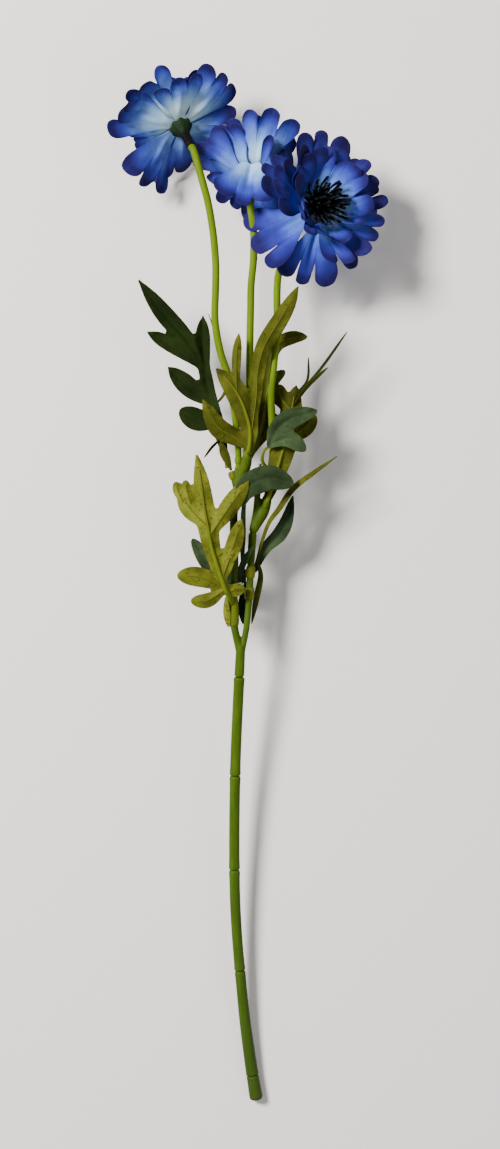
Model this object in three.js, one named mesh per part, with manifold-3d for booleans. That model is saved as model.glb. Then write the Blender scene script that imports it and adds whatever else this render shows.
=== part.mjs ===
// Artificial cornflower spray, lying on a table.
//
// One moulded stem over a steel wire, a fork that carries three flower stems, three flower
// heads of die-cut fabric petals, and eight fabric leaves on moulded ribs.
// Millimetres. +X runs across the spray, +Y from the cut end to the flowers, +Z up.

import * as THREE from 'three';
import { mergeVertices } from 'three/addons/utils/BufferGeometryUtils.js';
import Module from 'manifold-3d';

const wasm = await Module();
wasm.setup();

// ---------------------------------------------------------------- driving dimensions

const GAP = 0.3;              // air between pieces that touch
const FABRIC = 0.5;           // petal and leaf fabric, stiffened
const WIRE_RADIUS = 0.9;      // steel core of the main stem
const WIRE_BORE = 1.2;        // hole for it in each moulded stem piece
// A flower stem's radius, and the slimmer foot that leaves room for the sleeves at the fork.
const FLOWER_STEM_RADIUS = 1.95;
const FLOWER_STEM_FOOT_RADIUS = 1.6;
const FORK_FOOT_RADIUS = 2.7;

const CALYX_LENGTH = 17;      // tube and flared cup under a flower
const CALYX_CUP_RADIUS = 6;
const CALYX_TUBE_RADIUS = 2.4;
const LAYER_STEP = 1.6;       // one petal layer to the next, at the hub
const HUB_HOLE = 1.6;         // hole in each petal layer
const HUB_RADIUS = 6.6;       // flat middle disc of each petal layer
const ROOT_RADIUS = 5.2;      // where a petal's cloth starts, inside the disc
const CUT_WIDTH = 1.2;        // of the cut between two petals, at its blunt end
const BEND_LENGTH = 6;        // a petal bends over this length, just past the flat middle
const HALF_SECTOR = Math.PI / 6; // six petals in each layer
const SECTOR_FILL = 0.88;     // of its sector, what a petal may cover
const HANGING = -60;          // a petal lowered by more than this has no neighbour beside it
const CUP = 0.004;            // how much a petal is cupped across its width
const PEG_RADIUS = 1.2;       // peg of the stamen tuft, through the petal layers
const STAMEN_LENGTH = 14;
const STAMEN_RADIUS = 0.8;
const RIB_START = 1.4;        // radius of a leaf's rib at its sleeve and at its far end
const RIB_END = 0.6;

// The main stem: a long shallow bow that rises from the table to the fork.
const MAIN_STEM = [
  [3.5, -284.5, 3.8], [0, -262, 4.9], [-4, -229, 8], [-8, -175, 13.5], [-8, -110, 20],
  [-5.5, -50, 28], [-4.6, -36, 30],
];
// Share of the stem's route at which one moulded piece ends and the next begins.
const STEM_JOINTS = [0, 0.104, 0.387, 0.544, 0.673, 0.815];
const JOINT_GAP = 0.001;

const BRANCH_LEFT = [
  [-5.2, -42, 29.1], [-8.4, -27, 30.7], [-9.5, -13.5, 31.5], [-8, 8, 33], [-8.7, 29, 35],
  [-7, 46, 36.5],
];
const BRANCH_RIGHT = [
  [-4.6, -42, 29.1], [-2, -29, 29.5], [-0.5, -13.5, 29], [0.3, 2.5, 29.5], [1.4, 22.5, 32],
];
const ARMS = {
  left: [[-7, 46, 36.5], [-8.3, 50, 36.8], [-9.8, 54.5, 37]],
  middle: [[-7, 46, 36.5], [-6.5, 51, 37], [-6.1, 55.5, 37.5]],
  right: [[-7, 46, 36.5], [-4.3, 52.5, 36.8], [-2.3, 57.7, 37.2]],
  bare: [[1.4, 22.5, 32], [3.2, 34, 33.5], [5, 55, 35.5]],
  knee: [[1.4, 22.5, 32], [3.5, 27.5, 32.2], [6.5, 32.5, 32.5]],
};
// Where the wire shows past the end of an arm.
const WIRE_ENDS = {
  wire_end_left: [[-9.92, 54.85, 37], [-10.8, 57.5, 37.2]],
  wire_end_bare: [[5.04, 55.35, 35.53], [5.4, 58.5, 35.8]],
};

// Each flower: where its petals meet, the way it faces, and the route of its stem up to
// the foot of the calyx. The six petals of a layer are evenly spaced; turn is the angle of the
// first. reach scales each petal and lift raises it out of the flower's plane, in degrees.
const FLOWERS = {
  flower_left: {
    hub: [-37, 238, 28.8],
    axis: [-0.35, 0.74, -0.57],
    stem: [
      [-6.1, 56.1, 37.5], [-6.3, 67, 38], [-8, 84, 38], [-11, 102.5, 38], [-15.8, 118, 38],
      [-18.4, 134, 38.5], [-18.1, 150, 39], [-18, 163, 40], [-19.2, 178, 41.5], [-21.8, 194, 43],
      [-25.5, 208, 44],
    ],
    layers: [
      { turn: 25, reach: [0.75, 0.85, 1, 1.05, 0.85, 0.95], lift: [-12, 2, -22, 0, 5, 8] },
      { turn: 55, reach: [0.75, 0.85, 0.8, 1.02, 0.85, 0.9], lift: [12, 12, 12, 14, 22, 16] },
      { turn: 40, reach: [0.9, 0.9, 0.9, 0.9, 0.85, 0.8], lift: [32, 30, 34, 34, 38, 36] },
    ],
  },
  flower_middle: {
    hub: [2, 212, 27.6],
    axis: [0.08, 0.82, -0.57],
    stem: [
      [-2, 58.9, 37.3], [-1.1, 71, 37.6], [-0.3, 89, 38], [-0.2, 107.5, 38], [0, 125.5, 38],
      [0.3, 139, 38], [0.6, 152.5, 38.5], [1.8, 165, 39], [2, 178, 40], [1.2, 187, 41.5],
    ],
    layers: [
      { turn: 20, reach: [0.6, 0.8, 0.65, 0.9, 1.12, 0.6], lift: [5, 0, 0, 15, -95, 5] },
      { turn: -15, reach: [0.6, 0.8, 0.8, 0.75, 0.9, 1.08], lift: [22, 14, 14, 26, 34, 38] },
      { turn: 15, reach: [0.8, 0.8, 0.9, 0.9, 1.08, 1], lift: [40, 34, 36, 54, 60, 56] },
    ],
  },
  flower_right: {
    hub: [35, 191.5, 42],
    axis: [0.38, 0.26, 0.89],
    stem: [
      [6.8, 32.9, 32.8], [9.5, 42, 34], [11.5, 55, 35], [11.8, 68, 36], [11.6, 81, 38], [11, 96, 40],
      [12.6, 111, 41], [14.2, 131, 40], [14.2, 147, 37], [15, 158.5, 32], [18, 169, 27], [22.5, 178.5, 23.5],
    ],
    layers: [
      { turn: 34, reach: [1, 1.12, 0.98, 1.06, 1.12, 0.95], lift: [8, 12, 20, -30, -28, -5] },
      { turn: -1, reach: [1.02, 1.05, 1, 0.95, 0.75, 0.95], lift: [16, 20, 32, 44, 48, 4] },
      { turn: 14, reach: [1, 1, 1, 0.9, 0.75, 0.9], lift: [36, 36, 57, 62, 64, 42] },
    ],
  },
};

// The outline of one petal, from the valley at one side of it round to the other side: shares
// of the petal's length and of its half width.
const THREE_LOBES = [
  [0.8, -1], [0.95, -0.6], [0.68, -0.37], [0.99, -0.27], [0.99, 0.27], [0.68, 0.37], [0.95, 0.6], [0.8, 1],
];
const TWO_LOBES = [[0.78, -1], [0.99, -0.5], [0.7, 0], [0.99, 0.5], [0.78, 1]];

// The three petal layers, from the calyx inwards: length of a petal and half its width.
const LAYERS = [
  { name: 'petals_outer', length: 40, halfWidth: 14.5, outline: THREE_LOBES },
  { name: 'petals_middle', length: 37, halfWidth: 13.5, outline: THREE_LOBES },
  { name: 'petals_inner', length: 31, halfWidth: 10, outline: TWO_LOBES },
];

// Eight leaves. side is +1 where the leaf's underside, with its rib, faces up, and -1 where
// its top face does. Its rib starts from a sleeve round a stem, over part of that stem's route,
// runs through the lead points and then follows the first lobe. A lobe is its half width, its
// lean (0 lies flat, 90 stands on edge) and the points that it runs through.
const LEAVES = {
  leaf_low_front: {
    side: 1,
    sleeve: { on: 'branch_left', from: 0.2, to: 0.44, wall: 1.2 },
    lead: [[-10.5, -14.5, 34.6], [-11.6, -11.5, 38.5]],
    lobes: [
      [5, 0, [
        [-13, -8, 40], [-16, 1, 42.5], [-20, 14, 44], [-22, 25, 45], [-24, 36, 45],
        [-25.7, 50, 44], [-28, 63, 42],
      ]],
      [5.2, 8, [[-22, 25, 45], [-32, 34, 44], [-38, 45, 42]]],
      [4.6, -10, [[-20.5, 21, 44.8], [-11, 35, 46], [-1, 49, 45]]],
      [3.6, -15, [[-15.5, 0, 42.3], [-9, 14, 42.5], [-4, 30, 41]]],
      [5, 10, [[-13.5, -6.5, 40.8], [-26, -1.5, 42], [-38, 0.5, 40]]],
      [3.6, 5, [[-13, -8, 40], [-22, -13.5, 40], [-31, -14, 38]]],
      [2.8, -20, [[-14.6, -3, 41.6], [-12.4, 3.5, 43.4], [-8.9, 12.3, 43]]],
      [3.2, 0, [[-11.5, -9.5, 39], [-8, -8.3, 37.8], [-3.4, -7.5, 36.6]]],
    ],
  },
  leaf_low_back: {
    side: -1,
    sleeve: { on: 'branch_right', from: 0.5, to: 0.61, wall: 0.6 },
    lead: [[-0.6, -9.5, 26], [-1.6, -7.5, 24.4]],
    lobes: [
      [2.2, 55, [[-2.5, -5, 25], [-4.2, 7.7, 27], [-4, 20, 33], [-3.8, 33, 40], [-2.5, 43, 43.5]]],
      [6.3, 0, [[-4, 38, 42.6], [-1.5, 45.5, 44], [9.5, 50.5, 45], [22, 47.5, 43]]],
      [4.2, 0, [[-3.5, 2, 25.5], [-19, 3.5, 22], [-31, 19, 20]]],
      [2.4, 0, [[-3, -3, 25], [-17, -2.9, 22], [-24.6, 1.3, 20]]],
      [1.6, 0, [[-2.5, -5, 25], [-4, -15, 24], [-3.6, -26.5, 24]]],
      [1.7, 10, [[-3.6, -4.5, 26], [-5, 1, 31.4], [-2.6, 8, 35], [1.8, 15, 35.4]]],
    ],
  },
  leaf_low_right: {
    side: -1,
    sleeve: { on: 'branch_right', from: 0.68, to: 0.78, wall: 0.6 },
    lead: [[0.9, -0.5, 26.4], [1.7, 0.5, 24.6]],
    lobes: [
      [3.6, 10, [[2.5, 2, 24.5], [8.5, 14, 26], [15.4, 21, 27], [19.6, 29, 28], [22.8, 42, 28]]],
      [1.9, 40, [
        [3, 6, 25], [9, 25.6, 32.5], [15.3, 35, 35], [22.6, 45.5, 37], [33, 53.4, 39], [46, 62.3, 40],
      ]],
      [1.8, 40, [[4, 7, 24.8], [5.8, -1, 24], [3.6, -13, 24], [0.8, -26.5, 24]]],
    ],
  },
  leaf_left: {
    side: -1,
    sleeve: { on: 'wire_end_left', from: 0.15, to: 0.9, wall: 0.8 },
    lead: [[-11.9, 56, 37.2], [-12.3, 59.5, 36.8]],
    lobes: [
      [4.2, 0, [
        [-12.5, 62, 38], [-14.5, 69, 38], [-17, 79, 38], [-21.6, 94.6, 37], [-24.7, 110.3, 38],
        [-32, 121.9, 38],
      ]],
      [4.8, 0, [[-24, 107, 37.8], [-32, 121.9, 38], [-46, 138, 40], [-59, 155.3, 40]]],
      [4.2, 0, [[-25, 109, 37.9], [-41, 120.4, 37], [-54.5, 128, 37]]],
      [4.2, 0, [[-23, 100, 37.3], [-24.8, 121, 36], [-24.8, 136.5, 36]]],
      [4.8, 0, [[-20.5, 90, 37.2], [-31.7, 98.4, 35], [-43.3, 109.6, 34]]],
      [5.2, 0, [[-17.5, 80, 37.9], [-27.5, 81.5, 34], [-37, 87, 33]]],
      [1.2, 40, [[-20, 88, 37.3], [-13.5, 96, 33], [-12.5, 108, 32], [-17, 124, 32], [-22, 138, 33]]],
    ],
  },
  leaf_centre: {
    side: 1,
    sleeve: { on: 'flower_middle', from: 0.03, to: 0.07, wall: 0.8 },
    lead: [[-1.7, 63.5, 39.5], [-1.4, 64.8, 42]],
    lobes: [
      [5, 0, [[-0.5, 66, 44], [0, 75.7, 45], [-3.7, 88.6, 46.5], [-9, 98, 47.5], [-17.5, 107.5, 47]]],
      [2, 15, [[-7, 93, 47], [-7.1, 112, 47], [-5.8, 126.2, 46]]],
      [3.6, 0, [
        [0.4, 72, 44.8], [3.1, 91.3, 45.5], [4.2, 107, 46], [7.8, 120, 47], [15.7, 133, 47.5],
        [21, 142, 48], [25, 150, 50],
      ]],
      [4, 10, [[-0.7, 67, 44.2], [-9.4, 72.4, 46], [-17.2, 77.5, 48], [-24.5, 91, 49]]],
      [0.9, 50, [[-12, 73.5, 46.7], [-19.4, 67.3, 45], [-24.1, 61.1, 43]]],
    ],
  },
  leaf_behind: {
    side: 1,
    sleeve: { on: 'flower_left', from: 0.02, to: 0.045, wall: 0.4 },
    lead: [[-6.1, 58.5, 35.4], [-4, 60.5, 32.5]],
    lobes: [
      [3.2, 0, [[0, 61.6, 31.5], [6, 76.5, 31], [8.5, 92.5, 31], [10, 107, 31], [14.5, 119, 32]]],
      [3, 0, [[10.4, 109, 31], [14.5, 121, 32], [22, 125.4, 32.6], [30.5, 125.6, 33]]],
      [2.4, 0, [[8.5, 92, 31], [13.8, 103.5, 31], [18.5, 107.7, 32]]],
      [3.4, 0, [[2, 66, 31.3], [9.5, 77.6, 30], [14, 85, 30]]],
    ],
  },
  leaf_right: {
    side: 1,
    sleeve: { on: 'flower_right', from: 0.03, to: 0.08, wall: 0.5 },
    lead: [[8.6, 38, 35.6], [9, 39.2, 38.8]],
    lobes: [
      [6, 0, [
        [9.5, 40, 38.6], [12.7, 50, 40], [15.9, 60.7, 40], [20.2, 76.7, 38], [22.3, 88.3, 35.5],
        [24.4, 99.5, 34],
      ]],
      [4.5, 0, [[18.8, 71, 39], [27.6, 76.6, 37], [34, 83.5, 36]]],
      [4, 0, [[22, 86, 36], [16.5, 93, 34], [15, 99.5, 34]]],
      [1.6, 60, [[22.2, 87.5, 35.6], [30, 98.5, 36], [41, 109, 38]]],
      [1.4, 60, [[23.3, 93, 34.8], [37.5, 108.5, 34], [51.3, 128, 36]]],
      [1.1, 60, [[23.7, 95, 34.5], [30.5, 103, 32], [31, 115.1, 32]]],
    ],
  },
  leaf_right_front: {
    side: -1,
    sleeve: { on: 'flower_right', from: 0.15, to: 0.19, wall: 0.8 },
    lead: [[9, 55.5, 35.5], [6.4, 60, 39], [7.4, 65, 41.2]],
    lobes: [
      [5, 0, [[10.5, 68, 43], [14.1, 75.5, 44.5], [21.9, 81.7, 46], [35.2, 85.5, 46]]],
      [4, 0, [[10.5, 68, 43], [19.9, 71, 45], [29, 65, 44]]],
    ],
  },
};

// ---------------------------------------------------------------- finishes

const finish = (colour, roughness, metalness = 0) =>
  new THREE.MeshStandardMaterial({ color: colour, roughness, metalness });

const STEM_GREEN = finish('#4f6414', 0.45);
const FLOWER_STEM_GREEN = finish('#75861a', 0.45);
const CALYX_DARK = finish('#14200c', 0.6);
const PETAL_BLUE = finish('#3a4fa8', 0.85);
const STAMEN_BLACK = finish('#08090c', 0.4);
const LEAF_OLIVE = finish('#6b6a1c', 0.85);
const LEAF_GREEN = finish('#1c3318', 0.85);
const RIB_GREEN = finish('#6f8020', 0.45);
const STEEL = finish('#6e6c68', 0.4, 1);

// ---------------------------------------------------------------- solids

const vec = (p) => new THREE.Vector3(...p);
const radians = THREE.MathUtils.degToRad;
const smooth = THREE.MathUtils.smoothstep;

function solidOf(geometry) {
  const bare = geometry.clone();
  bare.deleteAttribute('normal');
  bare.deleteAttribute('uv');
  const merged = mergeVertices(bare, 1e-4);
  return new wasm.Manifold(new wasm.Mesh({
    numProp: 3,
    vertProperties: new Float32Array(merged.attributes.position.array),
    triVerts: new Uint32Array(merged.index.array),
  }));
}

function geometryOf(solid) {
  const mesh = solid.getMesh();
  const geometry = new THREE.BufferGeometry();
  geometry.setAttribute('position', new THREE.BufferAttribute(mesh.vertProperties, 3));
  geometry.setIndex(new THREE.BufferAttribute(mesh.triVerts, 1));
  geometry.computeVertexNormals();
  return geometry;
}

const joined = (geometries) =>
  geometryOf(geometries.map(solidOf).reduce((whole, piece) => whole.add(piece)));

const curveThrough = (points) =>
  new THREE.CatmullRomCurve3(points.map(vec), false, 'catmullrom', 0.5);

const evenly = (from, to, steps) =>
  Array.from({ length: steps + 1 }, (_, i) => from + ((to - from) * i) / steps);

// A rod along a curve, with a ring of points at each of the given shares of its route.
function rod(curve, radiusAt, sides, stations) {
  const geometry = new THREE.CylinderGeometry(1, 1, 1, sides, stations.length - 1);
  const spots = geometry.attributes.position;
  for (let i = 0; i < spots.count; i += 1) {
    const share = stations[Math.round((spots.getY(i) + 0.5) * (stations.length - 1))];
    const along = curve.getTangent(share);
    const up = new THREE.Vector3(0, 0, 1).addScaledVector(along, -along.z).normalize();
    const side = along.clone().cross(up);
    const place = curve.getPoint(share);
    const radius = radiusAt(share);
    place.addScaledVector(side, spots.getX(i) * radius);
    place.addScaledVector(up, spots.getZ(i) * radius);
    spots.setXYZ(i, place.x, place.y, place.z);
  }
  return geometry;
}

// A thin sheet: surface(v, t) gives its middle, v from -1 to 1 across and t from 0 to 1 along.
function sheet(surface, across, along) {
  const geometry = new THREE.BoxGeometry(1, 1, 1, across, along, 1);
  const spots = geometry.attributes.position;
  const small = 0.01;
  for (let i = 0; i < spots.count; i += 1) {
    const v = spots.getX(i) * 2;
    const t = spots.getY(i) + 0.5;
    const acrossStep = surface(v + small, t).sub(surface(v - small, t));
    const alongStep = surface(v, t + small).sub(surface(v, t - small));
    const normal = acrossStep.cross(alongStep).normalize();
    const place = surface(v, t).addScaledVector(normal, spots.getZ(i) * FABRIC);
    spots.setXYZ(i, place.x, place.y, place.z);
  }
  return geometry;
}

// Stands a shape made about the Y axis on a point, with +Y turned to a direction.
function stood(geometry, place, direction) {
  const turn = new THREE.Quaternion().setFromUnitVectors(new THREE.Vector3(0, 1, 0), direction);
  return geometry.applyQuaternion(turn).translate(place.x, place.y, place.z);
}

const lathe = (profile, sides) =>
  new THREE.LatheGeometry(profile.map(([r, h]) => new THREE.Vector2(r, h)), sides);

const spray = new THREE.Group();

function addPiece(name, geometry, material) {
  const piece = new THREE.Mesh(geometry, material);
  piece.name = name;
  spray.add(piece);
}

// ---------------------------------------------------------------- stem

const mainStem = curveThrough(MAIN_STEM);
const stemRadius = (share) => 2.8 + 0.75 * (1 - smooth(share, 0, 0.42));

// A moulded piece is rounded off at both of its ends, where it meets the next one.
function stemPiece(from, to, boreFrom) {
  const shoulder = 0.01;
  const stations = [from, from + shoulder, ...evenly(from, to, 4).slice(1, -1), to - shoulder, to];
  const radiusAt = (share) => stemRadius(share) * (share === from || share === to ? 0.75 : 1);
  const outside = solidOf(rod(mainStem, radiusAt, 8, stations));
  const bore = solidOf(rod(mainStem, () => WIRE_BORE, 6, evenly(boreFrom, to + 0.01, 4)));
  return outside.subtract(bore);
}

STEM_JOINTS.slice(0, -1).forEach((from, index) => {
  const to = STEM_JOINTS[index + 1] - JOINT_GAP;
  const boreFrom = index === 0 ? 0.02 : from - 0.01;
  addPiece(`stem_piece_${index + 1}`, geometryOf(stemPiece(from, to, boreFrom)), STEM_GREEN);
});
addPiece('stem_wire', rod(mainStem, () => WIRE_RADIUS, 6, evenly(0.025, 0.9, 16)), STEEL);

// The fork: its foot takes the wire, and every branch and arm grows out of the one before.
const FORK_FOOT = STEM_JOINTS.at(-1);
const branches = {
  branch_left: { points: BRANCH_LEFT, radius: 2.1, endRadius: 2.1 },
  branch_right: { points: BRANCH_RIGHT, radius: 1.8, endRadius: 2 },
  arm_left: { points: ARMS.left, radius: 2, endRadius: 1.7 },
  arm_middle: { points: ARMS.middle, radius: 2, endRadius: 1.6 },
  arm_right: { points: ARMS.right, radius: 2, endRadius: 1.6 },
  arm_bare: { points: ARMS.bare, radius: 2, endRadius: 1.4 },
  arm_knee: { points: ARMS.knee, radius: 2, endRadius: 1.8 },
};
const routes = {};
const forkParts = [solidOf(rod(mainStem, () => FORK_FOOT_RADIUS, 8, [FORK_FOOT, 0.9, 1]))];
Object.entries(branches).forEach(([name, { points, radius, endRadius }]) => {
  const curve = curveThrough(points);
  const radiusAt = (share) => radius + (endRadius - radius) * share;
  routes[name] = { curve, radius };
  forkParts.push(solidOf(rod(curve, radiusAt, 8, evenly(0, 1, points.length + 1))));
});
const forkBore = solidOf(rod(mainStem, () => WIRE_BORE, 6, evenly(FORK_FOOT - 0.01, 0.91, 4)));
const fork = forkParts.reduce((whole, piece) => whole.add(piece)).subtract(forkBore);
addPiece('stem_fork', geometryOf(fork), STEM_GREEN);

Object.entries(WIRE_ENDS).forEach(([name, points]) => {
  routes[name] = { curve: curveThrough(points), radius: WIRE_RADIUS };
  addPiece(name, rod(routes[name].curve, () => WIRE_RADIUS, 6, [0, 1]), STEEL);
});

// ---------------------------------------------------------------- flowers

// A flower's own frame: axis out of its face, and two directions in its plane.
function frameOf(flower) {
  const axis = vec(flower.axis).normalize();
  const right = new THREE.Vector3(1, 0, 0).addScaledVector(axis, -axis.x).normalize();
  return { hub: vec(flower.hub), axis, right, up: axis.clone().cross(right) };
}

// The path of a petal's middle, seen from the side: its distance from the axis, its rise and
// its slope at a length s along the fabric. It bends at the hub; a lowered petal bends past
// the calyx.
function petalProfile(length, lift) {
  const bendStart = lift < 0 ? CALYX_CUP_RADIUS + 1.5 : HUB_RADIUS;
  const stations = 24;
  const step = (1.1 * length) / stations;
  const path = [[0, 0, 0]];
  for (let i = 0; i < stations; i += 1) {
    const angle = radians(lift) * smooth((i + 0.5) * step, bendStart, bendStart + BEND_LENGTH);
    path.push([path[i][0] + Math.cos(angle) * step, path[i][1] + Math.sin(angle) * step, angle]);
  }
  return (s) => {
    const before = Math.min(Math.floor(s / step), stations - 1);
    const part = s / step - before;
    return path[before].map((value, k) => value + (path[before + 1][k] - value) * part);
  };
}

// Half the width that a petal may have at a distance from the axis.
const roomAcross = (out, lift) =>
  (lift < HANGING ? Infinity : SECTOR_FILL * out * Math.tan(HALF_SECTOR));

// One petal: a sheet from inside the layer's middle disc to its lobes. Its rows of points lie
// at these lengths along the cloth, for the root and the bend, and at the tips. It is thinner
// where it enters the disc.
const PETAL_ROWS = [ROOT_RADIUS, HUB_RADIUS + 0.3 * BEND_LENGTH, HUB_RADIUS + BEND_LENGTH];
function petalSheet(frame, index, azimuth, reach, lift) {
  const { length, halfWidth, outline } = LAYERS[index];
  const profile = petalProfile(length * reach, lift);
  const outward = frame.right.clone().multiplyScalar(Math.cos(azimuth))
    .addScaledVector(frame.up, Math.sin(azimuth));
  const sideways = frame.axis.clone().cross(outward);
  const columns = outline.length - 1;
  const rows = PETAL_ROWS.length;
  const rootHalf = ROOT_RADIUS * Math.tan(HALF_SECTOR) - CUT_WIDTH / 2;
  const geometry = new THREE.BoxGeometry(1, 1, 1, columns, rows, 1);
  const spots = geometry.attributes.position;
  for (let i = 0; i < spots.count; i += 1) {
    const column = Math.round((0.5 - spots.getX(i)) * columns);
    const row = Math.round((spots.getY(i) + 0.5) * rows);
    const [far, wide] = [outline[column][0] * length * reach, outline[column][1] * halfWidth];
    const along = row < rows ? PETAL_ROWS[row] : far;
    const part = (along - ROOT_RADIUS) / (far - ROOT_RADIUS);
    const [out, rise, slope] = profile(along);
    const room = roomAcross(out, lift);
    const planned = rootHalf * ((2 * column) / columns - 1) * (1 - part) + wide * part;
    const across = THREE.MathUtils.clamp(planned, -room, room);
    const normal = frame.axis.clone().multiplyScalar(Math.cos(slope))
      .addScaledVector(outward, -Math.sin(slope))
      .addScaledVector(sideways, -2 * CUP * across)
      .normalize();
    const place = frame.hub.clone()
      .addScaledVector(outward, out)
      .addScaledVector(sideways, across)
      .addScaledVector(frame.axis, index * LAYER_STEP + rise + CUP * across * across)
      .addScaledVector(normal, spots.getZ(i) * FABRIC * (part > 0 ? 1 : 0.8));
    spots.setXYZ(i, place.x, place.y, place.z);
  }
  return geometry;
}

// One layer: a disc of fabric with a hole in its middle, and six petals.
function petalLayer(flower, index) {
  const frame = frameOf(flower);
  const { turn, reach, lift } = flower.layers[index];
  const half = FABRIC / 2;
  const disc = lathe([
    [HUB_HOLE, -half], [HUB_RADIUS, -half], [HUB_RADIUS, half], [HUB_HOLE, half], [HUB_HOLE, -half],
  ], 18);
  const middle = frame.hub.clone().addScaledVector(frame.axis, index * LAYER_STEP);
  const petals = lift.map((raise, k) =>
    petalSheet(frame, index, radians(turn) + 2 * HALF_SECTOR * k, reach[k], raise));
  return joined([stood(disc, middle, frame.axis), ...petals]);
}

const calyxProfile = [
  [0, -CALYX_LENGTH], [CALYX_TUBE_RADIUS - 0.4, -CALYX_LENGTH], [CALYX_TUBE_RADIUS, -CALYX_LENGTH + 2],
  [CALYX_TUBE_RADIUS + 0.3, -8], [CALYX_TUBE_RADIUS + 0.8, -5.5], [CALYX_CUP_RADIUS, -1.6],
  [CALYX_CUP_RADIUS, -0.7], [PEG_RADIUS + GAP, -0.7], [PEG_RADIUS + GAP, -4.5], [0, -4.5],
];

// The tuft: a button over the petals, the peg that pins them, and three rings of filaments.
const STAMEN_RINGS = [
  { count: 3, radius: 0.9, splay: 8 },
  { count: 6, radius: 2, splay: 24 },
  { count: 8, radius: 2.8, splay: 38 },
];
function stamenTuft(flower) {
  const frame = frameOf(flower);
  const foot = 2 * LAYER_STEP + FABRIC / 2 + GAP;
  const button = lathe([
    [0, -4.2], [PEG_RADIUS, -4.2], [PEG_RADIUS, foot], [3.4, foot], [3.6, foot + 1],
    [2.4, foot + 1.8], [0, foot + 1.8],
  ], 8);
  const pieces = [stood(button, frame.hub, frame.axis)];
  STAMEN_RINGS.forEach(({ count, radius, splay }) => {
    for (let k = 0; k < count; k += 1) {
      const azimuth = (2 * Math.PI * k) / count;
      const out = frame.right.clone().multiplyScalar(Math.cos(azimuth))
        .addScaledVector(frame.up, Math.sin(azimuth));
      const direction = frame.axis.clone().multiplyScalar(Math.cos(radians(splay)))
        .addScaledVector(out, Math.sin(radians(splay)));
      const filament = new THREE.CylinderGeometry(STAMEN_RADIUS, STAMEN_RADIUS * 0.8, STAMEN_LENGTH, 4)
        .translate(0, STAMEN_LENGTH / 2, 0);
      const root = frame.hub.clone().addScaledVector(frame.axis, foot + 0.6).addScaledVector(out, radius);
      pieces.push(stood(filament, root, direction));
    }
  });
  return joined(pieces);
}

Object.entries(FLOWERS).forEach(([name, flower]) => {
  const frame = frameOf(flower);
  const below = (distance) => frame.hub.clone().addScaledVector(frame.axis, -distance).toArray();
  const route = curveThrough([...flower.stem, below(CALYX_LENGTH + 5), below(CALYX_LENGTH + GAP)]);
  routes[name] = { curve: route, radius: FLOWER_STEM_RADIUS };
  const swell = FLOWER_STEM_RADIUS - FLOWER_STEM_FOOT_RADIUS;
  const radiusAt = (share) => FLOWER_STEM_FOOT_RADIUS + swell * smooth(share, 0.1, 0.3);
  addPiece(`${name}_stem`, rod(route, radiusAt, 8, evenly(0, 1, 15)), FLOWER_STEM_GREEN);
  addPiece(`${name}_calyx`, stood(lathe(calyxProfile, 10), frame.hub, frame.axis), CALYX_DARK);
  LAYERS.forEach((layer, index) => {
    addPiece(`${name}_${layer.name}`, petalLayer(flower, index), PETAL_BLUE);
  });
  addPiece(`${name}_stamens`, stamenTuft(flower), STAMEN_BLACK);
});

// ---------------------------------------------------------------- leaves

const lobeWidth = (t) => 0.12 + 0.88 * Math.sin(Math.PI * t ** 0.8) ** 0.8;

function lobeSheet([halfWidth, lean, points], steps) {
  const spine = curveThrough(points);
  const surface = (v, t) => {
    const share = THREE.MathUtils.clamp(t, 0, 1);
    const along = spine.getTangent(share);
    const flat = new THREE.Vector3(along.y, -along.x, 0).normalize();
    const side = flat.applyAxisAngle(along, radians(lean));
    const width = halfWidth * lobeWidth(THREE.MathUtils.clamp(t, 0.001, 0.999)) * (t > 0.99 ? 0.3 : 1);
    return spine.getPoint(share).addScaledVector(along, (t - share) * 10).addScaledVector(side, v * width);
  };
  return sheet(surface, 2, steps);
}

// A leaf's rib, and the room that it needs in the blade.
function ribOf({ side, sleeve, lead, lobes }) {
  const follow = lobes[0][2].slice(0, -1);
  const radiusAt = (share) => RIB_START + (RIB_END - RIB_START) * share;
  const points = follow.map(([x, y, z], i) => {
    const share = (i + lead.length) / (lead.length + follow.length - 1);
    return [x, y, z + side * (FABRIC / 2 + GAP + 0.2 + radiusAt(share))];
  });
  const { curve, radius } = routes[sleeve.on];
  const { from, to, wall } = sleeve;
  const route = curveThrough([...lead, ...points]);
  const stations = evenly(0, 1, points.length + lead.length);
  const tube = solidOf(rod(curve, () => radius + GAP + wall, 8, evenly(from, to, 2)));
  const boreEnds = [Math.max(0, 2 * from - to), Math.min(1, 2 * to - from)];
  const bore = solidOf(rod(curve, () => radius + GAP, 8, evenly(...boreEnds, 6)));
  const rib = solidOf(rod(route, radiusAt, 6, stations));
  return {
    solid: tube.add(rib).subtract(bore),
    room: solidOf(rod(route, (share) => radiusAt(share) + GAP, 6, stations)),
  };
}

const largest = (solid) =>
  solid.decompose().reduce((best, piece) => (piece.volume() > best.volume() ? piece : best));

Object.entries(LEAVES).forEach(([name, leaf]) => {
  const rib = ribOf(leaf);
  const lobes = leaf.lobes.map((lobe) => solidOf(lobeSheet(lobe, 1 + lobe[2].length)));
  const blade = largest(lobes.reduce((whole, lobe) => whole.add(lobe)).subtract(rib.room));
  addPiece(`${name}_blade`, geometryOf(blade), leaf.side > 0 ? LEAF_OLIVE : LEAF_GREEN);
  addPiece(`${name}_rib`, geometryOf(rib.solid), RIB_GREEN);
});

// ---------------------------------------------------------------- placing

// The origin is the middle of the bounding box at table height.
const box = new THREE.Box3().setFromObject(spray);
const middle = box.getCenter(new THREE.Vector3());
spray.children.forEach((piece) => piece.geometry.translate(-middle.x, -middle.y, -box.min.z));

export default spray;
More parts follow.
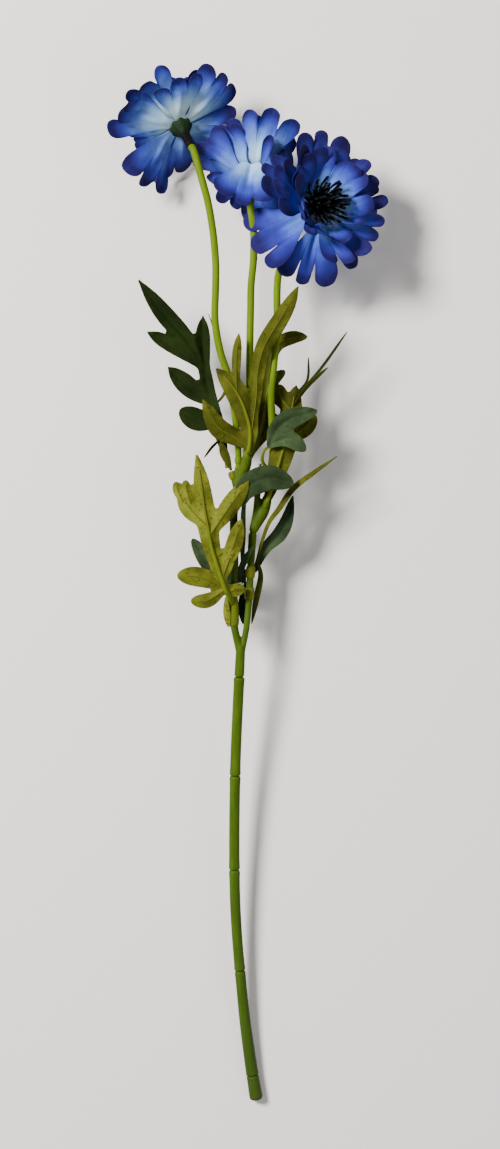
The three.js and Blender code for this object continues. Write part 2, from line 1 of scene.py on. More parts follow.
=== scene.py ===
# %% [markdown]
# # An artificial cornflower spray
#
# The real thing comes off a bench as a handful of kinds of part: a green moulded stem in
# short lengths over a wire, a fork with bare arms, three thin flower stems, dark calyxes,
# stamped fabric petals stacked in layers, black stamen tufts, and fabric leaves that are
# moulded on to ribs. Each kind has its own chapter below. The frame comes first: it holds the
# measured solids, and every piece made here has to sit where one of them sits.

# %% Load the frame
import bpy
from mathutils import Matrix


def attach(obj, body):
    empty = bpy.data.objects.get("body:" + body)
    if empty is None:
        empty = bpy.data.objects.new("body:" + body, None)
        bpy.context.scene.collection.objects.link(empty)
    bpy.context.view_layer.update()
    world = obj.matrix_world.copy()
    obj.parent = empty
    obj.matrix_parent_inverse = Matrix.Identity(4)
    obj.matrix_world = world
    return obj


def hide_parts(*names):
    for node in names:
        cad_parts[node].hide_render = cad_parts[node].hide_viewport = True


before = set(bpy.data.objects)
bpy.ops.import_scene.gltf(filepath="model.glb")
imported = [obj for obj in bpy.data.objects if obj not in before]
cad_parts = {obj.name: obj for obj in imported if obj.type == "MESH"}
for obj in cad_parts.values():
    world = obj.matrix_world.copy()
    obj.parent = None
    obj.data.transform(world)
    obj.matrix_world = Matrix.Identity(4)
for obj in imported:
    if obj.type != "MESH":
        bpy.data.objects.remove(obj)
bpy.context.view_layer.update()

# %% [markdown]
# ## Points in the workshop's millimetres
#
# The spray was laid out in millimetres round a point near its middle, and the frame then moved
# it so that its box is centred. One small function turns a workshop point into a place in the
# scene, in metres. Python's own modules and Blender's are brought in here too.

# %% Workshop points
import math
import random

import bmesh
import bpy
from mathutils import Matrix, Vector, noise

MM = 0.001
FRAME_SHIFT = Vector((1.138, 9.847, -0.109))


def place(point):
    return (Vector(point) + FRAME_SHIFT) * MM


print("workshop origin is at", [round(value, 4) for value in place((0, 0, 0))])

# %% [markdown]
# ## Curves and steps
#
# Stems, ribs and filaments all follow a few listed points. A Catmull-Rom curve goes
# through every point and never overshoots much, so the points stay easy to read. The blend
# function eases from 0 to 1 and is used wherever something bends or fades.


# %% A smooth route through points
def through(points):
    spots = [Vector(point) for point in points]
    last = len(spots) - 1

    def at(share):
        where = min(max(share, 0.0), 1.0) * last
        i = min(int(where), last - 1)
        part = where - i
        a, b = spots[i], spots[i + 1]
        before = spots[i - 1] if i > 0 else a * 2 - b
        after = spots[i + 2] if i + 2 <= last else b * 2 - a
        leave, arrive = (b - before) / 2, (after - a) / 2
        return (
            a
            + leave * part
            + (b * 3 - a * 3 - leave * 2 - arrive) * part**2
            + (a * 2 - b * 2 + leave + arrive) * part**3
        )

    return at


def blend(value, low, high):
    part = min(max((value - low) / (high - low), 0.0), 1.0)
    return part * part * (3 - 2 * part)


def mix(a, b, part):
    return a + (b - a) * part


print("half way from 0 to 10 along a route:", through([(0, 0, 0), (10, 0, 0)])(0.5).x)

# %% [markdown]
# ## One way to make every skin
#
# A grid is the handiest start for a shape that is thin or round: bmesh makes it flat, and
# a formula then moves each of its corners. Bent round on itself it is a tube, and left open
# it is a petal or a leaf. Two numbers are kept for the materials: a UV place in millimetres,
# so that weave and mould marks follow the surface, and a reach, which says how far
# along its own length a spot is.


# %% Grids, tubes and finished pieces
def grid_skin(bm, columns, rows, spot):
    """spot(u, v) gives the place in mm, the UV place in mm and the reach; u and v run 0 to 1."""
    uv_layer = bm.loops.layers.uv.verify()
    reach_layer = bm.verts.layers.float.get("reach") or bm.verts.layers.float.new("reach")
    made = bmesh.ops.create_grid(bm, x_segments=columns, y_segments=rows, size=0.5)["verts"]
    flat = {}
    for vert in made:
        where, uv, reach = spot(vert.co.x + 0.5, vert.co.y + 0.5)
        flat[vert] = uv
        vert[reach_layer] = reach
        vert.co = place(where)
    for face in {face for vert in made for face in vert.link_faces}:
        for loop in face.loops:
            loop[uv_layer].uv = flat[loop.vert]
    return made


ROUND_END = (0.0, 0.0, 0.06, 0.25, 0.6, 1.0)


def tube(bm, route, radius_at, sides, steps, start=0.0, stop=1.0, end_length=1.0, necks=(0.0, 0.0)):
    """A closed round rod along a route, in mm. Its two ends narrow to the shares called necks."""
    whole = sum(
        (route(mix(start, stop, (i + 1) / 20)) - route(mix(start, stop, i / 20))).length
        for i in range(20)
    )
    end = min(end_length / whole, 0.4)
    rows = [end * step for step in ROUND_END]
    rows += [mix(end, 1 - end, (i + 1) / steps) for i in range(steps - 1)]
    rows += [1 - end * step for step in reversed(ROUND_END)]
    last = len(rows) - 1
    hint = Vector((0.31, 0.17, 0.94))

    def spot(u, v):
        row = round(v * last)
        share = rows[row]
        here = mix(start, stop, share)
        forward = (route(here + 0.004) - route(here - 0.004)).normalized()
        side = forward.cross(hint).normalized()
        up = side.cross(forward)
        from_end = min(share, 1 - share) / end
        neck = necks[0] if share < 0.5 else necks[1]
        dome = mix(neck, 1, math.sqrt(max(0.0, 1 - (1 - min(from_end, 1)) ** 2)))
        turn = 2 * math.pi * u
        out = side * math.cos(turn) + up * math.sin(turn)
        radius = radius_at(here) * dome * (0 < row < last)
        return route(here) + out * radius, (u * 6.28 * radius_at(here), share * whole), here

    return grid_skin(bm, sides, last, spot)


def finish_piece(name, bm, materials, nodes, thickness=0.0, levels=1, seam=0.00001):
    bmesh.ops.remove_doubles(bm, verts=bm.verts, dist=seam)
    if not thickness:
        bmesh.ops.recalc_face_normals(bm, faces=bm.faces)
    for face in bm.faces:
        face.smooth = True
    mesh = bpy.data.meshes.new(name)
    bm.to_mesh(mesh)
    bm.free()
    piece = bpy.data.objects.new(name, mesh)
    bpy.context.scene.collection.objects.link(piece)
    for material in materials:
        mesh.materials.append(material)
    if thickness:
        wall = piece.modifiers.new("thickness", "SOLIDIFY")
        wall.thickness = thickness * MM
        wall.offset = 0
        wall.material_offset = len(materials) - 1
        wall.material_offset_rim = 0
    if levels:
        soften = piece.modifiers.new("soften", "SUBSURF")
        soften.levels = levels
        soften.render_levels = levels
    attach(piece, "root")
    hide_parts(*nodes)
    print(name, "has", len(mesh.polygons), "faces before its modifiers")
    return piece


print("the round end of a rod has", len(ROUND_END), "rings")

# %% [markdown]
# ## Colours and shared surface effects
#
# Colours are written as they look on a screen, from 0 to 255, and turned into the linear
# values that shaders work in. Two effects are used by more than one finish and are
# built once as node groups: the weave of stiffened fabric, and the faint drag marks and grain
# of moulded plastic.


# %% Colour and node helpers
def colour(red, green, blue):
    def linear(value):
        value /= 255
        return value / 12.92 if value <= 0.04045 else ((value + 0.055) / 1.055) ** 2.4

    return (linear(red), linear(green), linear(blue), 1)


def grey(tone):
    return (tone, tone, tone, 1)


def add_node(tree, kind, inputs=None, **settings):
    node = tree.nodes.new(kind)
    for name, value in settings.items():
        setattr(node, name, value)
    for name, value in (inputs or {}).items():
        if isinstance(value, bpy.types.NodeSocket):
            tree.links.new(value, node.inputs[name])
        else:
            node.inputs[name].default_value = value
    return node


def add_ramp(tree, value, stops):
    node = add_node(tree, "ShaderNodeValToRGB", {"Fac": value})
    band = node.color_ramp
    band.elements[0].position, band.elements[0].color = stops[0]
    band.elements[1].position, band.elements[1].color = stops[-1]
    for position, shade in stops[1:-1]:
        band.elements.new(position).color = shade
    return node.outputs["Color"]


def add_mix(tree, factor, a, b, blend_type="MIX"):
    """Mixes two colours. A mix node has a socket for every kind of value: 6 and 7 are colours."""
    inputs = {0: factor, 6: a, 7: b}
    mixed = add_node(tree, "ShaderNodeMix", inputs, data_type="RGBA", blend_type=blend_type)
    return mixed.outputs[2]


def new_group(name, inputs, outputs):
    tree = bpy.data.node_groups.new(name, "ShaderNodeTree")
    for label, kind, value in inputs:
        socket = tree.interface.new_socket(label, in_out="INPUT", socket_type=kind)
        if value is not None:
            socket.default_value = value
    for label, kind in outputs:
        tree.interface.new_socket(label, in_out="OUTPUT", socket_type=kind)
    return tree, tree.nodes.new("NodeGroupInput"), tree.nodes.new("NodeGroupOutput")


print("a middle grey is", round(colour(128, 128, 128)[0], 3), "in linear light")

# %% The weave of stiffened fabric
FLOAT, VECTOR = "NodeSocketFloat", "NodeSocketVector"
weave, given, put = new_group(
    "fabric_weave",
    [("Place", VECTOR, None), ("Threads per mm", FLOAT, 3.2)],
    [("Height", FLOAT), ("Threads", FLOAT)],
)
scaled = add_node(
    weave,
    "ShaderNodeVectorMath",
    {0: given.outputs["Place"], "Scale": given.outputs["Threads per mm"]},
    operation="SCALE",
)
threads = []
for direction in ("X", "Y"):
    wave = add_node(
        weave,
        "ShaderNodeTexWave",
        {"Vector": scaled.outputs[0], "Scale": 0.5, "Distortion": 0.6, "Detail": 1.0},
        bands_direction=direction,
    )
    threads.append(wave.outputs["Fac"])
crossed = add_node(weave, "ShaderNodeMath", {0: threads[0], 1: threads[1]}, operation="MULTIPLY")
for label in ("Height", "Threads"):
    weave.links.new(crossed.outputs[0], put.inputs[label])


def lay_weave(tree, shader, uv, shade, tones, strength, distance):
    """Crosses a colour with the weave's dark and light, and lets the threads stand up a little."""
    cloth = add_node(tree, "ShaderNodeGroup", {"Place": uv}, node_tree=weave)
    dim, bright = [grey(tone) for tone in tones]
    thread_shade = add_ramp(tree, cloth.outputs["Threads"], [(0.0, dim), (1.0, bright)])
    shaded = add_mix(tree, 1.0, shade, thread_shade, "MULTIPLY")
    tree.links.new(shaded, shader.inputs["Base Color"])
    relief = {"Height": cloth.outputs["Height"], "Strength": strength, "Distance": distance}
    bump = add_node(tree, "ShaderNodeBump", relief)
    tree.links.new(bump.outputs[0], shader.inputs["Normal"])


print("fabric_weave has", len(weave.nodes), "nodes")

# %% The grain of moulded plastic
grain, given, put = new_group(
    "mould_grain",
    [("Place", VECTOR, None), ("Size", FLOAT, 900.0)],
    [("Height", FLOAT), ("Patches", FLOAT), ("Drag", FLOAT)],
)
fine = add_node(
    grain,
    "ShaderNodeTexNoise",
    {"Vector": given.outputs["Place"], "Scale": given.outputs["Size"], "Detail": 3.0},
)
broad = add_node(
    grain,
    "ShaderNodeTexNoise",
    {"Vector": given.outputs["Place"], "Scale": 60.0, "Detail": 2.0},
)
stretched = add_node(
    grain,
    "ShaderNodeMapping",
    {"Vector": given.outputs["Place"], "Scale": (700.0, 30.0, 700.0)},
)
drag = add_node(grain, "ShaderNodeTexNoise", {"Vector": stretched.outputs[0], "Scale": 1.0})
for label, source in (("Height", fine), ("Patches", broad), ("Drag", drag)):
    grain.links.new(source.outputs["Fac"], put.inputs[label])
print("mould_grain has", len(grain.nodes), "nodes")

# %% [markdown]
# ## Moulded plastic finishes
#
# The stem, fork, ribs and flower stems are one family: soft satin polyethylene that is dull
# rather than shiny. It is never one green. The mould leaves it patchy, it is darker where it
# is thick, and the stem runs from a deep green at its cut end to a yellower one at the fork.


# %% Moulded plastic
HALF_SPRAY = 0.28


def new_material(name):
    material = bpy.data.materials.new(name)
    material.use_nodes = True
    tree = material.node_tree
    tree.nodes.clear()
    shader = tree.nodes.new("ShaderNodeBsdfPrincipled")
    output = tree.nodes.new("ShaderNodeOutputMaterial")
    tree.links.new(shader.outputs[0], output.inputs["Surface"])
    return material, tree, shader


def reach_of(tree):
    return add_node(tree, "ShaderNodeAttribute", attribute_name="reach").outputs["Fac"]


def moulded(name, stops, dark, roughness=0.42, by_length=False):
    """stops shade the plastic along Y in metres, or along the piece's own reach."""
    material, tree, shader = new_material(name)
    spots = tree.nodes.new("ShaderNodeTexCoord").outputs["Object"]
    if by_length:
        along = reach_of(tree)
    else:
        height = add_node(tree, "ShaderNodeSeparateXYZ", {0: spots}).outputs["Y"]
        span = {"Value": height, "From Min": -HALF_SPRAY, "From Max": HALF_SPRAY}
        along = add_node(tree, "ShaderNodeMapRange", span).outputs[0]
    base = add_ramp(tree, along, stops)
    marks = add_node(tree, "ShaderNodeGroup", node_tree=grain)
    tree.links.new(spots, marks.inputs["Place"])
    patches = add_ramp(tree, marks.outputs["Patches"], [(0.35, grey(0)), (0.7, grey(1))])
    patchy = add_mix(tree, patches, base, dark)
    soft = add_mix(tree, 0.35, base, patchy)
    streaks = add_ramp(tree, marks.outputs["Drag"], [(0.3, grey(0.82)), (0.7, grey(1.12))])
    shaded = add_mix(tree, 1.0, soft, streaks, "MULTIPLY")
    tree.links.new(shaded, shader.inputs["Base Color"])
    rough = add_node(
        tree,
        "ShaderNodeMapRange",
        {"Value": marks.outputs["Patches"], "To Min": roughness - 0.06, "To Max": roughness + 0.1},
    )
    tree.links.new(rough.outputs[0], shader.inputs["Roughness"])
    bump = add_node(
        tree,
        "ShaderNodeBump",
        {"Height": marks.outputs["Height"], "Strength": 0.25, "Distance": 0.0002},
    )
    tree.links.new(bump.outputs[0], shader.inputs["Normal"])
    shader.inputs["Specular IOR Level"].default_value = 0.05
    print(name, "has", len(tree.nodes), "nodes")
    return material


stem_finish = moulded(
    "stem_plastic",
    [
        (0.0, colour(52, 71, 23)),
        (0.18, colour(58, 80, 19)),
        (0.4, colour(65, 87, 15)),
        (0.5, colour(62, 81, 16)),
        (0.62, colour(66, 83, 17)),
        (1.0, colour(76, 93, 18)),
    ],
    colour(42, 62, 14),
)
flower_stem_finish = moulded(
    "flower_stem_plastic",
    [
        (0.0, colour(78, 98, 14)),
        (0.3, colour(86, 108, 10)),
        (0.8, colour(94, 116, 12)),
        (0.97, colour(86, 104, 12)),
        (1.0, colour(58, 74, 14)),
    ],
    colour(74, 92, 12),
    by_length=True,
)
rib_finish = moulded(
    "rib_plastic",
    [
        (0.0, colour(84, 106, 18)),
        (0.3, colour(92, 104, 22)),
        (0.8, colour(86, 91, 22)),
        (1.0, colour(78, 82, 20)),
    ],
    colour(78, 88, 20),
    by_length=True,
)
calyx_finish = moulded(
    "calyx_plastic",
    [
        (0.0, colour(18, 12, 12)),
        (0.5, colour(16, 14, 12)),
        (0.7, colour(16, 28, 16)),
        (1.0, colour(26, 44, 24)),
    ],
    colour(10, 10, 8),
    roughness=0.5,
    by_length=True,
)
stamen_finish = moulded(
    "stamen_plastic",
    [(0.0, colour(8, 8, 14)), (0.7, colour(12, 12, 18)), (1.0, colour(20, 20, 26))],
    colour(5, 5, 8),
    roughness=0.36,
    by_length=True,
)

# %% [markdown]
# The wire core is drawn steel that has gone dull. It only shows at two cut ends.

# %% Steel wire
wire_finish, tree, shader = new_material("wire_steel")
spots = tree.nodes.new("ShaderNodeTexCoord").outputs["Object"]
marks = add_node(tree, "ShaderNodeGroup", node_tree=grain)
tree.links.new(spots, marks.inputs["Place"])
tree.links.new(
    add_ramp(
        tree, marks.outputs["Drag"], [(0.3, colour(70, 66, 62)), (0.7, colour(112, 108, 102))]
    ),
    shader.inputs["Base Color"],
)
shader.inputs["Metallic"].default_value = 1.0
shader.inputs["Roughness"].default_value = 0.45
WIRES = ("stem_wire", "wire_end_left", "wire_end_bare")
for node in WIRES:
    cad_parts[node].data.materials.clear()
    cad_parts[node].data.materials.append(wire_finish)
print("steel on", ", ".join(WIRES))

# %% [markdown]
# ## The main stem
#
# It is moulded in lengths that meet over the wire, with a narrow neck at each joint where it can be
# snapped off. Each length is one tube that rounds down to the neck at both ends. The joints are
# shares of the route, the same ones as in the frame.

# %% Stem pieces
MAIN_STEM = [
    (3.5, -284.5, 3.8), (0, -262, 4.9), (-4, -229, 8), (-8, -175, 13.5), (-8, -110, 20),
    (-5.5, -50, 28), (-4.6, -36, 30),
]
STEM_JOINTS = [0, 0.104, 0.387, 0.544, 0.673, 0.815]
JOINT_GAP = 0.001
STEM_BODY = 2.84
STEM_FLARE = 0.5
STEM_END_FLARE = 0.25
JOINT_SWELL = 0.22
main_stem = through(MAIN_STEM)


def stem_radius(share):
    swell = sum(math.exp(-(((share - joint) / 0.009) ** 2)) for joint in STEM_JOINTS[1:])
    body = STEM_BODY + STEM_FLARE * (1 - blend(share, 0.08, 0.42))
    body += STEM_END_FLARE * (1 - blend(share, 0, 0.1))
    return body + JOINT_SWELL * swell


SHOULDER = 1.5
NECK = 0.7
CUT_END = 0.5

for number in range(1, len(STEM_JOINTS)):
    low, high = STEM_JOINTS[number - 1], STEM_JOINTS[number] - 0.1 * JOINT_GAP
    bm = bmesh.new()
    necks = (NECK if number > 1 else CUT_END, NECK)
    tube(bm, main_stem, stem_radius, 20, 40, low, high, SHOULDER, necks)
    name = f"stem_piece_{number}"
    finish_piece(f"{name}_moulding", bm, [stem_finish], [name], levels=0)

# %% [markdown]
# ## The fork
#
# The fork is one moulding, so its branches have to run into each other without a crease.
# Tubes are laid along all the branches and arms, each with its swellings, then one voxel remesh
# turns the bundle into a single skin, and a little smoothing rounds the crotches as flowing
# plastic does.

# %% Fork
ARMS = {
    "foot": (
        [(-5.73, -54.5, 27.4), (-5.4, -48, 28.3), (-5.1, -42, 29.2), (-4.8, -37, 29.8)],
        (2.75, 2.7, 2.6, 2.4),
    ),
    "branch_left": (
        [
            (-5.2, -42, 29.1), (-8.4, -27, 30.7), (-9.5, -13.5, 31.5), (-8, 8, 33), (-8.7, 29, 35),
            (-7, 46, 36.5),
        ],
        (2.1, 2.1, 2.1, 2.2, 2.3),
    ),
    "branch_right": (
        [(-4.6, -42, 29.1), (-2, -29, 29.5), (-0.5, -13.5, 29), (0.3, 2.5, 29.5), (1.4, 22.5, 32)],
        (1.8, 1.75, 1.8, 2.0, 2.3),
    ),
    "arm_left": ([(-7, 46, 36.5), (-8.3, 50, 36.8), (-9.8, 54.5, 37)], (2.2, 1.8, 1.8)),
    "arm_middle": ([(-7, 46, 36.5), (-6.5, 51, 37), (-6.1, 57.5, 37.5)], (2.2, 2.0, 2.0)),
    "arm_right": (
        [(-7, 46, 36.5), (-4.3, 52.5, 36.8), (-2.3, 57.7, 38.2), (-1.3, 63, 40.6)],
        (2.2, 2.9, 3.1, 2.5),
    ),
    "arm_bare": ([(1.4, 22.5, 32), (3.2, 34, 33.5), (5, 55, 35.5)], (2.2, 1.8, 1.8)),
    "arm_knee": (
        [(1.4, 22.5, 32), (3.8, 27.5, 32.2), (6.6, 33, 32.5), (8.4, 38, 33.3), (9.5, 42, 34)],
        (2.2, 2.9, 3.5, 3.0, 2.2),
    ),
}
bm = bmesh.new()
routes = {}
for name, (points, radii) in ARMS.items():
    routes[name] = through(points)
    thickness = through([(radius, 0, 0) for radius in radii])
    necks = (NECK, 0.0) if name == "foot" else (0.0, 0.0)
    tube(
        bm, routes[name], lambda share, at=thickness: at(share).x, 14, 12,
        end_length=1.2, necks=necks,
    )
fork = finish_piece(
    "stem_fork_moulding", bm, [stem_finish], ["stem_fork"], levels=0
)


def melt_together(piece, size, rounds):
    """Turns a bundle of closed skins into one skin, with its inner corners rounded."""
    melt = piece.modifiers.new("melt", "REMESH")
    melt.mode = "VOXEL"
    melt.voxel_size = size * MM
    bpy.context.view_layer.update()
    ready = piece.evaluated_get(bpy.context.evaluated_depsgraph_get())
    single = bpy.data.meshes.new_from_object(ready)
    piece.modifiers.clear()
    bm = bmesh.new()
    bm.from_mesh(single)
    for _ in range(rounds):
        bmesh.ops.smooth_vert(
            bm, verts=bm.verts, factor=0.5, use_axis_x=True, use_axis_y=True, use_axis_z=True
        )
    for face in bm.faces:
        face.smooth = True
    bm.to_mesh(piece.data)
    bm.free()
    bpy.data.meshes.remove(single)
    print(piece.name, "melted into", len(piece.data.polygons), "faces")


FORK_VOXEL = 0.42
FORK_ROUNDS = 5
melt_together(fork, FORK_VOXEL, FORK_ROUNDS)

# %% [markdown]
# ## Where each flower sits
#
# A flower has a hub, where its layers are pinned, and an axis, which points out of its face.
# Two flowers face away and down and show their backs; one shows its face. The six petals
# of a layer are evenly spaced. Each has a reach, a lift and a depth of dye of its own, because
# the cloth is dyed by hand and a spray that has been handled is never even. The depth of dye
# also holds painted shade: a petal that lies in shade is given a deeper dye. A dye of 1 is deep
# and 0 is pale, and a little below 0 keeps the petal pale further out.

# %% Flowers
FLOWERS = {
    "flower_left": {
        "hub": (-37, 238, 28.8),
        "axis": (-0.35, 0.74, -0.57),
        "stem": [
            (-6.1, 56.1, 37.5), (-6.3, 67, 38), (-8, 84, 38), (-11, 102.5, 38), (-15.8, 118, 38),
            (-18.4, 134, 38.5), (-18.1, 150, 39), (-18, 163, 40), (-19.2, 178, 41.5),
            (-21.8, 194, 43), (-25.5, 208, 44),
        ],
        "layers": [
            (
                25, (0.75, 0.85, 1, 1.05, 0.85, 0.95),
                (-12, 2, -22, 0, 5, 8),
                (0.5, 0.8, 0.74, 0.2, -0.1, 0.12),
            ),
            (
                55, (0.75, 0.85, 0.8, 1.02, 0.85, 0.9),
                (12, 12, 12, 14, 22, 16),
                (0.8, 0.95, 0.2, -0.1, 1, 0.75),
            ),
            (
                40, (0.9, 0.9, 0.9, 0.9, 0.85, 0.8),
                (32, 30, 34, 34, 38, 36),
                (0.5, 0.6, 0.5, 0.5, 0.6, 0.4),
            ),
        ],
    },
    "flower_middle": {
        "hub": (2, 212, 27.6),
        "axis": (0.08, 0.82, -0.57),
        "stem": [
            (-2, 58.9, 37.3), (-1.1, 71, 37.6), (-0.3, 89, 38), (-0.2, 107.5, 38), (0, 125.5, 38),
            (0.3, 139, 38), (0.6, 152.5, 38.5), (1.8, 165, 39), (2, 178, 40), (1.2, 187, 41.5),
        ],
        "layers": [
            (
                20, (0.6, 0.8, 0.65, 0.9, 1.12, 0.6),
                (5, 0, 0, 15, -95, 5),
                (0.85, 0.8, 0.7, 0.7, 0.16, 0.8),
            ),
            (
                -15, (0.6, 0.8, 0.8, 0.75, 0.9, 1.08),
                (22, 14, 14, 26, 34, 38),
                (0.62, 0.7, 0.7, 0.6, 0.5, 0.24),
            ),
            (
                15, (0.8, 0.8, 0.9, 0.9, 1.08, 1),
                (40, 34, 36, 54, 60, 56),
                (0.5, 0.5, 0.6, 0.5, 0.25, 0.35),
            ),
        ],
    },
    "flower_right": {
        "hub": (35, 191.5, 42),
        "axis": (0.38, 0.26, 0.89),
        "stem": [
            (6.8, 32.9, 32.8), (9.5, 42, 34), (11.5, 55, 35), (11.8, 68, 36), (11.6, 81, 38),
            (11, 96, 40), (12.6, 111, 41), (14.2, 131, 40), (14.2, 147, 37), (15, 158.5, 32),
            (18, 169, 27), (22.5, 178.5, 23.5),
        ],
        "layers": [
            (
                34, (1, 1.12, 0.98, 1.06, 1.12, 0.95),
                (8, 12, 20, -30, -28, -5),
                (0.7, 0.92, 0.92, 0.84, 0.8, 0.74),
            ),
            (
                -1, (1.02, 1.05, 1, 0.95, 0.75, 0.95),
                (16, 20, 32, 44, 48, 4),
                (0.34, 0.56, 0.84, 0.88, 0.72, 0.62),
            ),
            (
                14, (1, 1, 1, 0.9, 0.75, 0.9),
                (36, 36, 57, 62, 64, 42),
                (0.1, 0.35, 0.7, 0.8, 0.15, 0.2),
            ),
        ],
    },
}
CALYX_LENGTH = 17
for flower in FLOWERS.values():
    axis = Vector(flower["axis"]).normalized()
    right = (Vector((1, 0, 0)) - axis * axis.x).normalized()
    flower.update(hub=Vector(flower["hub"]), axis=axis, right=right, up=axis.cross(right))
print("flowers:", ", ".join(FLOWERS))

# %% [markdown]
# ## Flower stems
#
# Each is a thin moulded rod that is plugged into an arm and runs to the foot of its calyx, with
# the slight kinks of a stem that has been bent by hand. It is slimmer at its foot, which leaves
# room for the leaf sleeves there. Its first point is the bottom of its socket, inside the arm.

# %% Flower stems
ROD_RADIUS = 1.95
ROD_FOOT_RADIUS = 1.6
SOCKETS = {
    "flower_left": (-6.4, 53, 37),
    "flower_middle": (-3.6, 54.5, 37),
    "flower_right": (4.8, 29.5, 32.4),
}
for name, flower in FLOWERS.items():
    foot = [flower["hub"] - flower["axis"] * (CALYX_LENGTH + drop) for drop in (5, 0.3)]
    routes[name] = through([*flower["stem"], *foot])
    rod = through([SOCKETS[name], *flower["stem"], *foot])

    def stem_thickness(share, seed=len(name)):
        wander = noise.noise(Vector((share * 9, seed, 0)))
        body = mix(ROD_FOOT_RADIUS, ROD_RADIUS, blend(share, 0.1, 0.3))
        return body + 0.06 * wander + 0.3 * (1 - blend(share, 0.05, 0.1))

    bm = bmesh.new()
    tube(bm, rod, stem_thickness, 16, 90, end_length=0.8)
    finish_piece(
        f"{name}_stem_rod", bm, [flower_stem_finish], [f"{name}_stem"], levels=0
    )

# %% [markdown]
# ## Calyxes
#
# A calyx is turned: a tube that grips the stem, flaring to a cup under the petals. Its profile is
# drawn once and spun round, then the rim is pulled into blunt sepals and faint ridges. A spin
# hands its faces back in another order each time, so they are sorted to make every run alike.

# %% Calyxes
CALYX_PROFILE = [
    (0, -17), (1.9, -17), (2.3, -16.6), (2.42, -15.6), (2.42, -11), (2.5, -8.6), (2.85, -6.8),
    (3.8, -4.9), (5.1, -3.2), (5.95, -1.9), (6.15, -1.2), (5.9, -0.75), (4.6, -0.65), (0, -0.65),
]
SEPALS = 8
RIDGE = 0.02
SEPAL_CUT = 0.05
SEPAL_DROP = 5


def stand(verts, flower):
    """Turns a shape made about Z, in mm, to a flower's axis and puts it at its hub."""
    turn = Matrix((flower["right"], flower["up"], flower["axis"])).transposed()
    for vert in verts:
        vert.co = place(flower["hub"] + turn @ vert.co)


def sort_faces(bm):
    """Puts edges and faces in the order of their corners."""
    bm.verts.index_update()
    count = len(bm.verts)

    def order_of(part):
        corners = [vert.index for vert in part.verts]
        return min(corners) * count + max(corners)

    bm.edges.sort(key=order_of)
    bm.faces.sort(key=order_of)


for name, flower in FLOWERS.items():
    bm = bmesh.new()
    reach_layer = bm.verts.layers.float.new("reach")
    profile = [bm.verts.new((radius, 0, height)) for radius, height in CALYX_PROFILE]
    edges = [bm.edges.new(pair) for pair in zip(profile, profile[1:])]
    bmesh.ops.spin(
        bm, geom=profile + edges, axis=(0, 0, 1), cent=(0, 0, 0),
        angle=2 * math.pi, steps=48, use_merge=True,
    )
    bmesh.ops.remove_doubles(bm, verts=bm.verts, dist=0.001)
    sort_faces(bm)
    for vert in bm.verts:
        radius = math.hypot(vert.co.x, vert.co.y)
        turn = math.atan2(vert.co.y, vert.co.x)
        flare = blend(vert.co.z, -8, -1.5)
        ridge = 1 + (RIDGE + SEPAL_CUT * flare) * math.cos(SEPALS * turn) * (radius > 2.1)
        vert[reach_layer] = blend(vert.co.z, -CALYX_LENGTH, -1)
        drop = SEPAL_DROP * flare * (1 - ridge)
        vert.co = (vert.co.x * ridge, vert.co.y * ridge, vert.co.z - drop)
    stand(bm.verts, flower)
    finish_piece(
        f"{name}_calyx_cup", bm, [calyx_finish], [f"{name}_calyx"], levels=1
    )

# %% [markdown]
# ## Petal fabric
#
# The cloth is dyed in bands that follow each petal: nearly white at the throat, a clear
# mid-blue, then a deep violet-blue margin. Fine streaks run outwards in the dye. The fabric is
# stiffened and heat-set, so it is dull, and catches a soft edge of light like any cloth, which
# is the sheen. The outside of a petal is paler than its face.


# %% Petal finishes
def spread_of(tree, vector, scale, amount, detail=2.0):
    """A noise that swings from -amount to +amount."""
    cloud = add_node(
        tree, "ShaderNodeTexNoise", {"Vector": vector, "Scale": scale, "Detail": detail}
    )
    swing = {"Value": cloud.outputs["Fac"], "From Min": 0.28, "From Max": 0.72}
    swing.update({"To Min": -amount, "To Max": amount})
    return add_node(tree, "ShaderNodeMapRange", swing).outputs[0]


def petal_fabric(name, stops):
    material, tree, shader = new_material(name)
    uv = tree.nodes.new("ShaderNodeUVMap").outputs[0]
    stretched_uv = add_node(tree, "ShaderNodeMapping", {"Vector": uv, "Scale": (0.8, 0.07, 1.0)})
    streaks = spread_of(tree, stretched_uv.outputs[0], 1.0, 0.035)
    clouds = spread_of(tree, uv, 0.11, 0.07)
    uneven = add_node(tree, "ShaderNodeMath", {0: streaks, 1: clouds}, operation="ADD")
    depth = add_node(
        tree, "ShaderNodeMath", {0: reach_of(tree), 1: uneven.outputs[0]}, operation="ADD"
    )
    dyed = add_ramp(tree, depth.outputs[0], stops)
    lay_weave(tree, shader, uv, dyed, (0.92, 1.06), 0.3, 0.0001)
    shader.inputs["Roughness"].default_value = 0.75
    shader.inputs["Specular IOR Level"].default_value = 0.1
    shader.inputs["Sheen Weight"].default_value = 0.02
    shader.inputs["Sheen Roughness"].default_value = 0.5
    shader.inputs["Sheen Tint"].default_value = colour(150, 170, 240)
    print(name, "has", len(tree.nodes), "nodes")
    return material


petal_face = petal_fabric(
    "petal_face",
    [
        (0.0, colour(186, 214, 226)),
        (0.18, colour(140, 182, 226)),
        (0.38, colour(88, 124, 206)),
        (0.56, colour(57, 75, 176)),
        (0.72, colour(42, 48, 142)),
        (0.87, colour(34, 34, 108)),
        (1.0, colour(27, 20, 78)),
    ],
)
petal_back = petal_fabric(
    "petal_back",
    [
        (0.0, colour(190, 218, 228)),
        (0.2, colour(146, 188, 228)),
        (0.42, colour(96, 132, 208)),
        (0.6, colour(62, 81, 178)),
        (0.76, colour(45, 53, 144)),
        (0.9, colour(36, 37, 110)),
        (1.0, colour(29, 23, 80)),
    ],
)

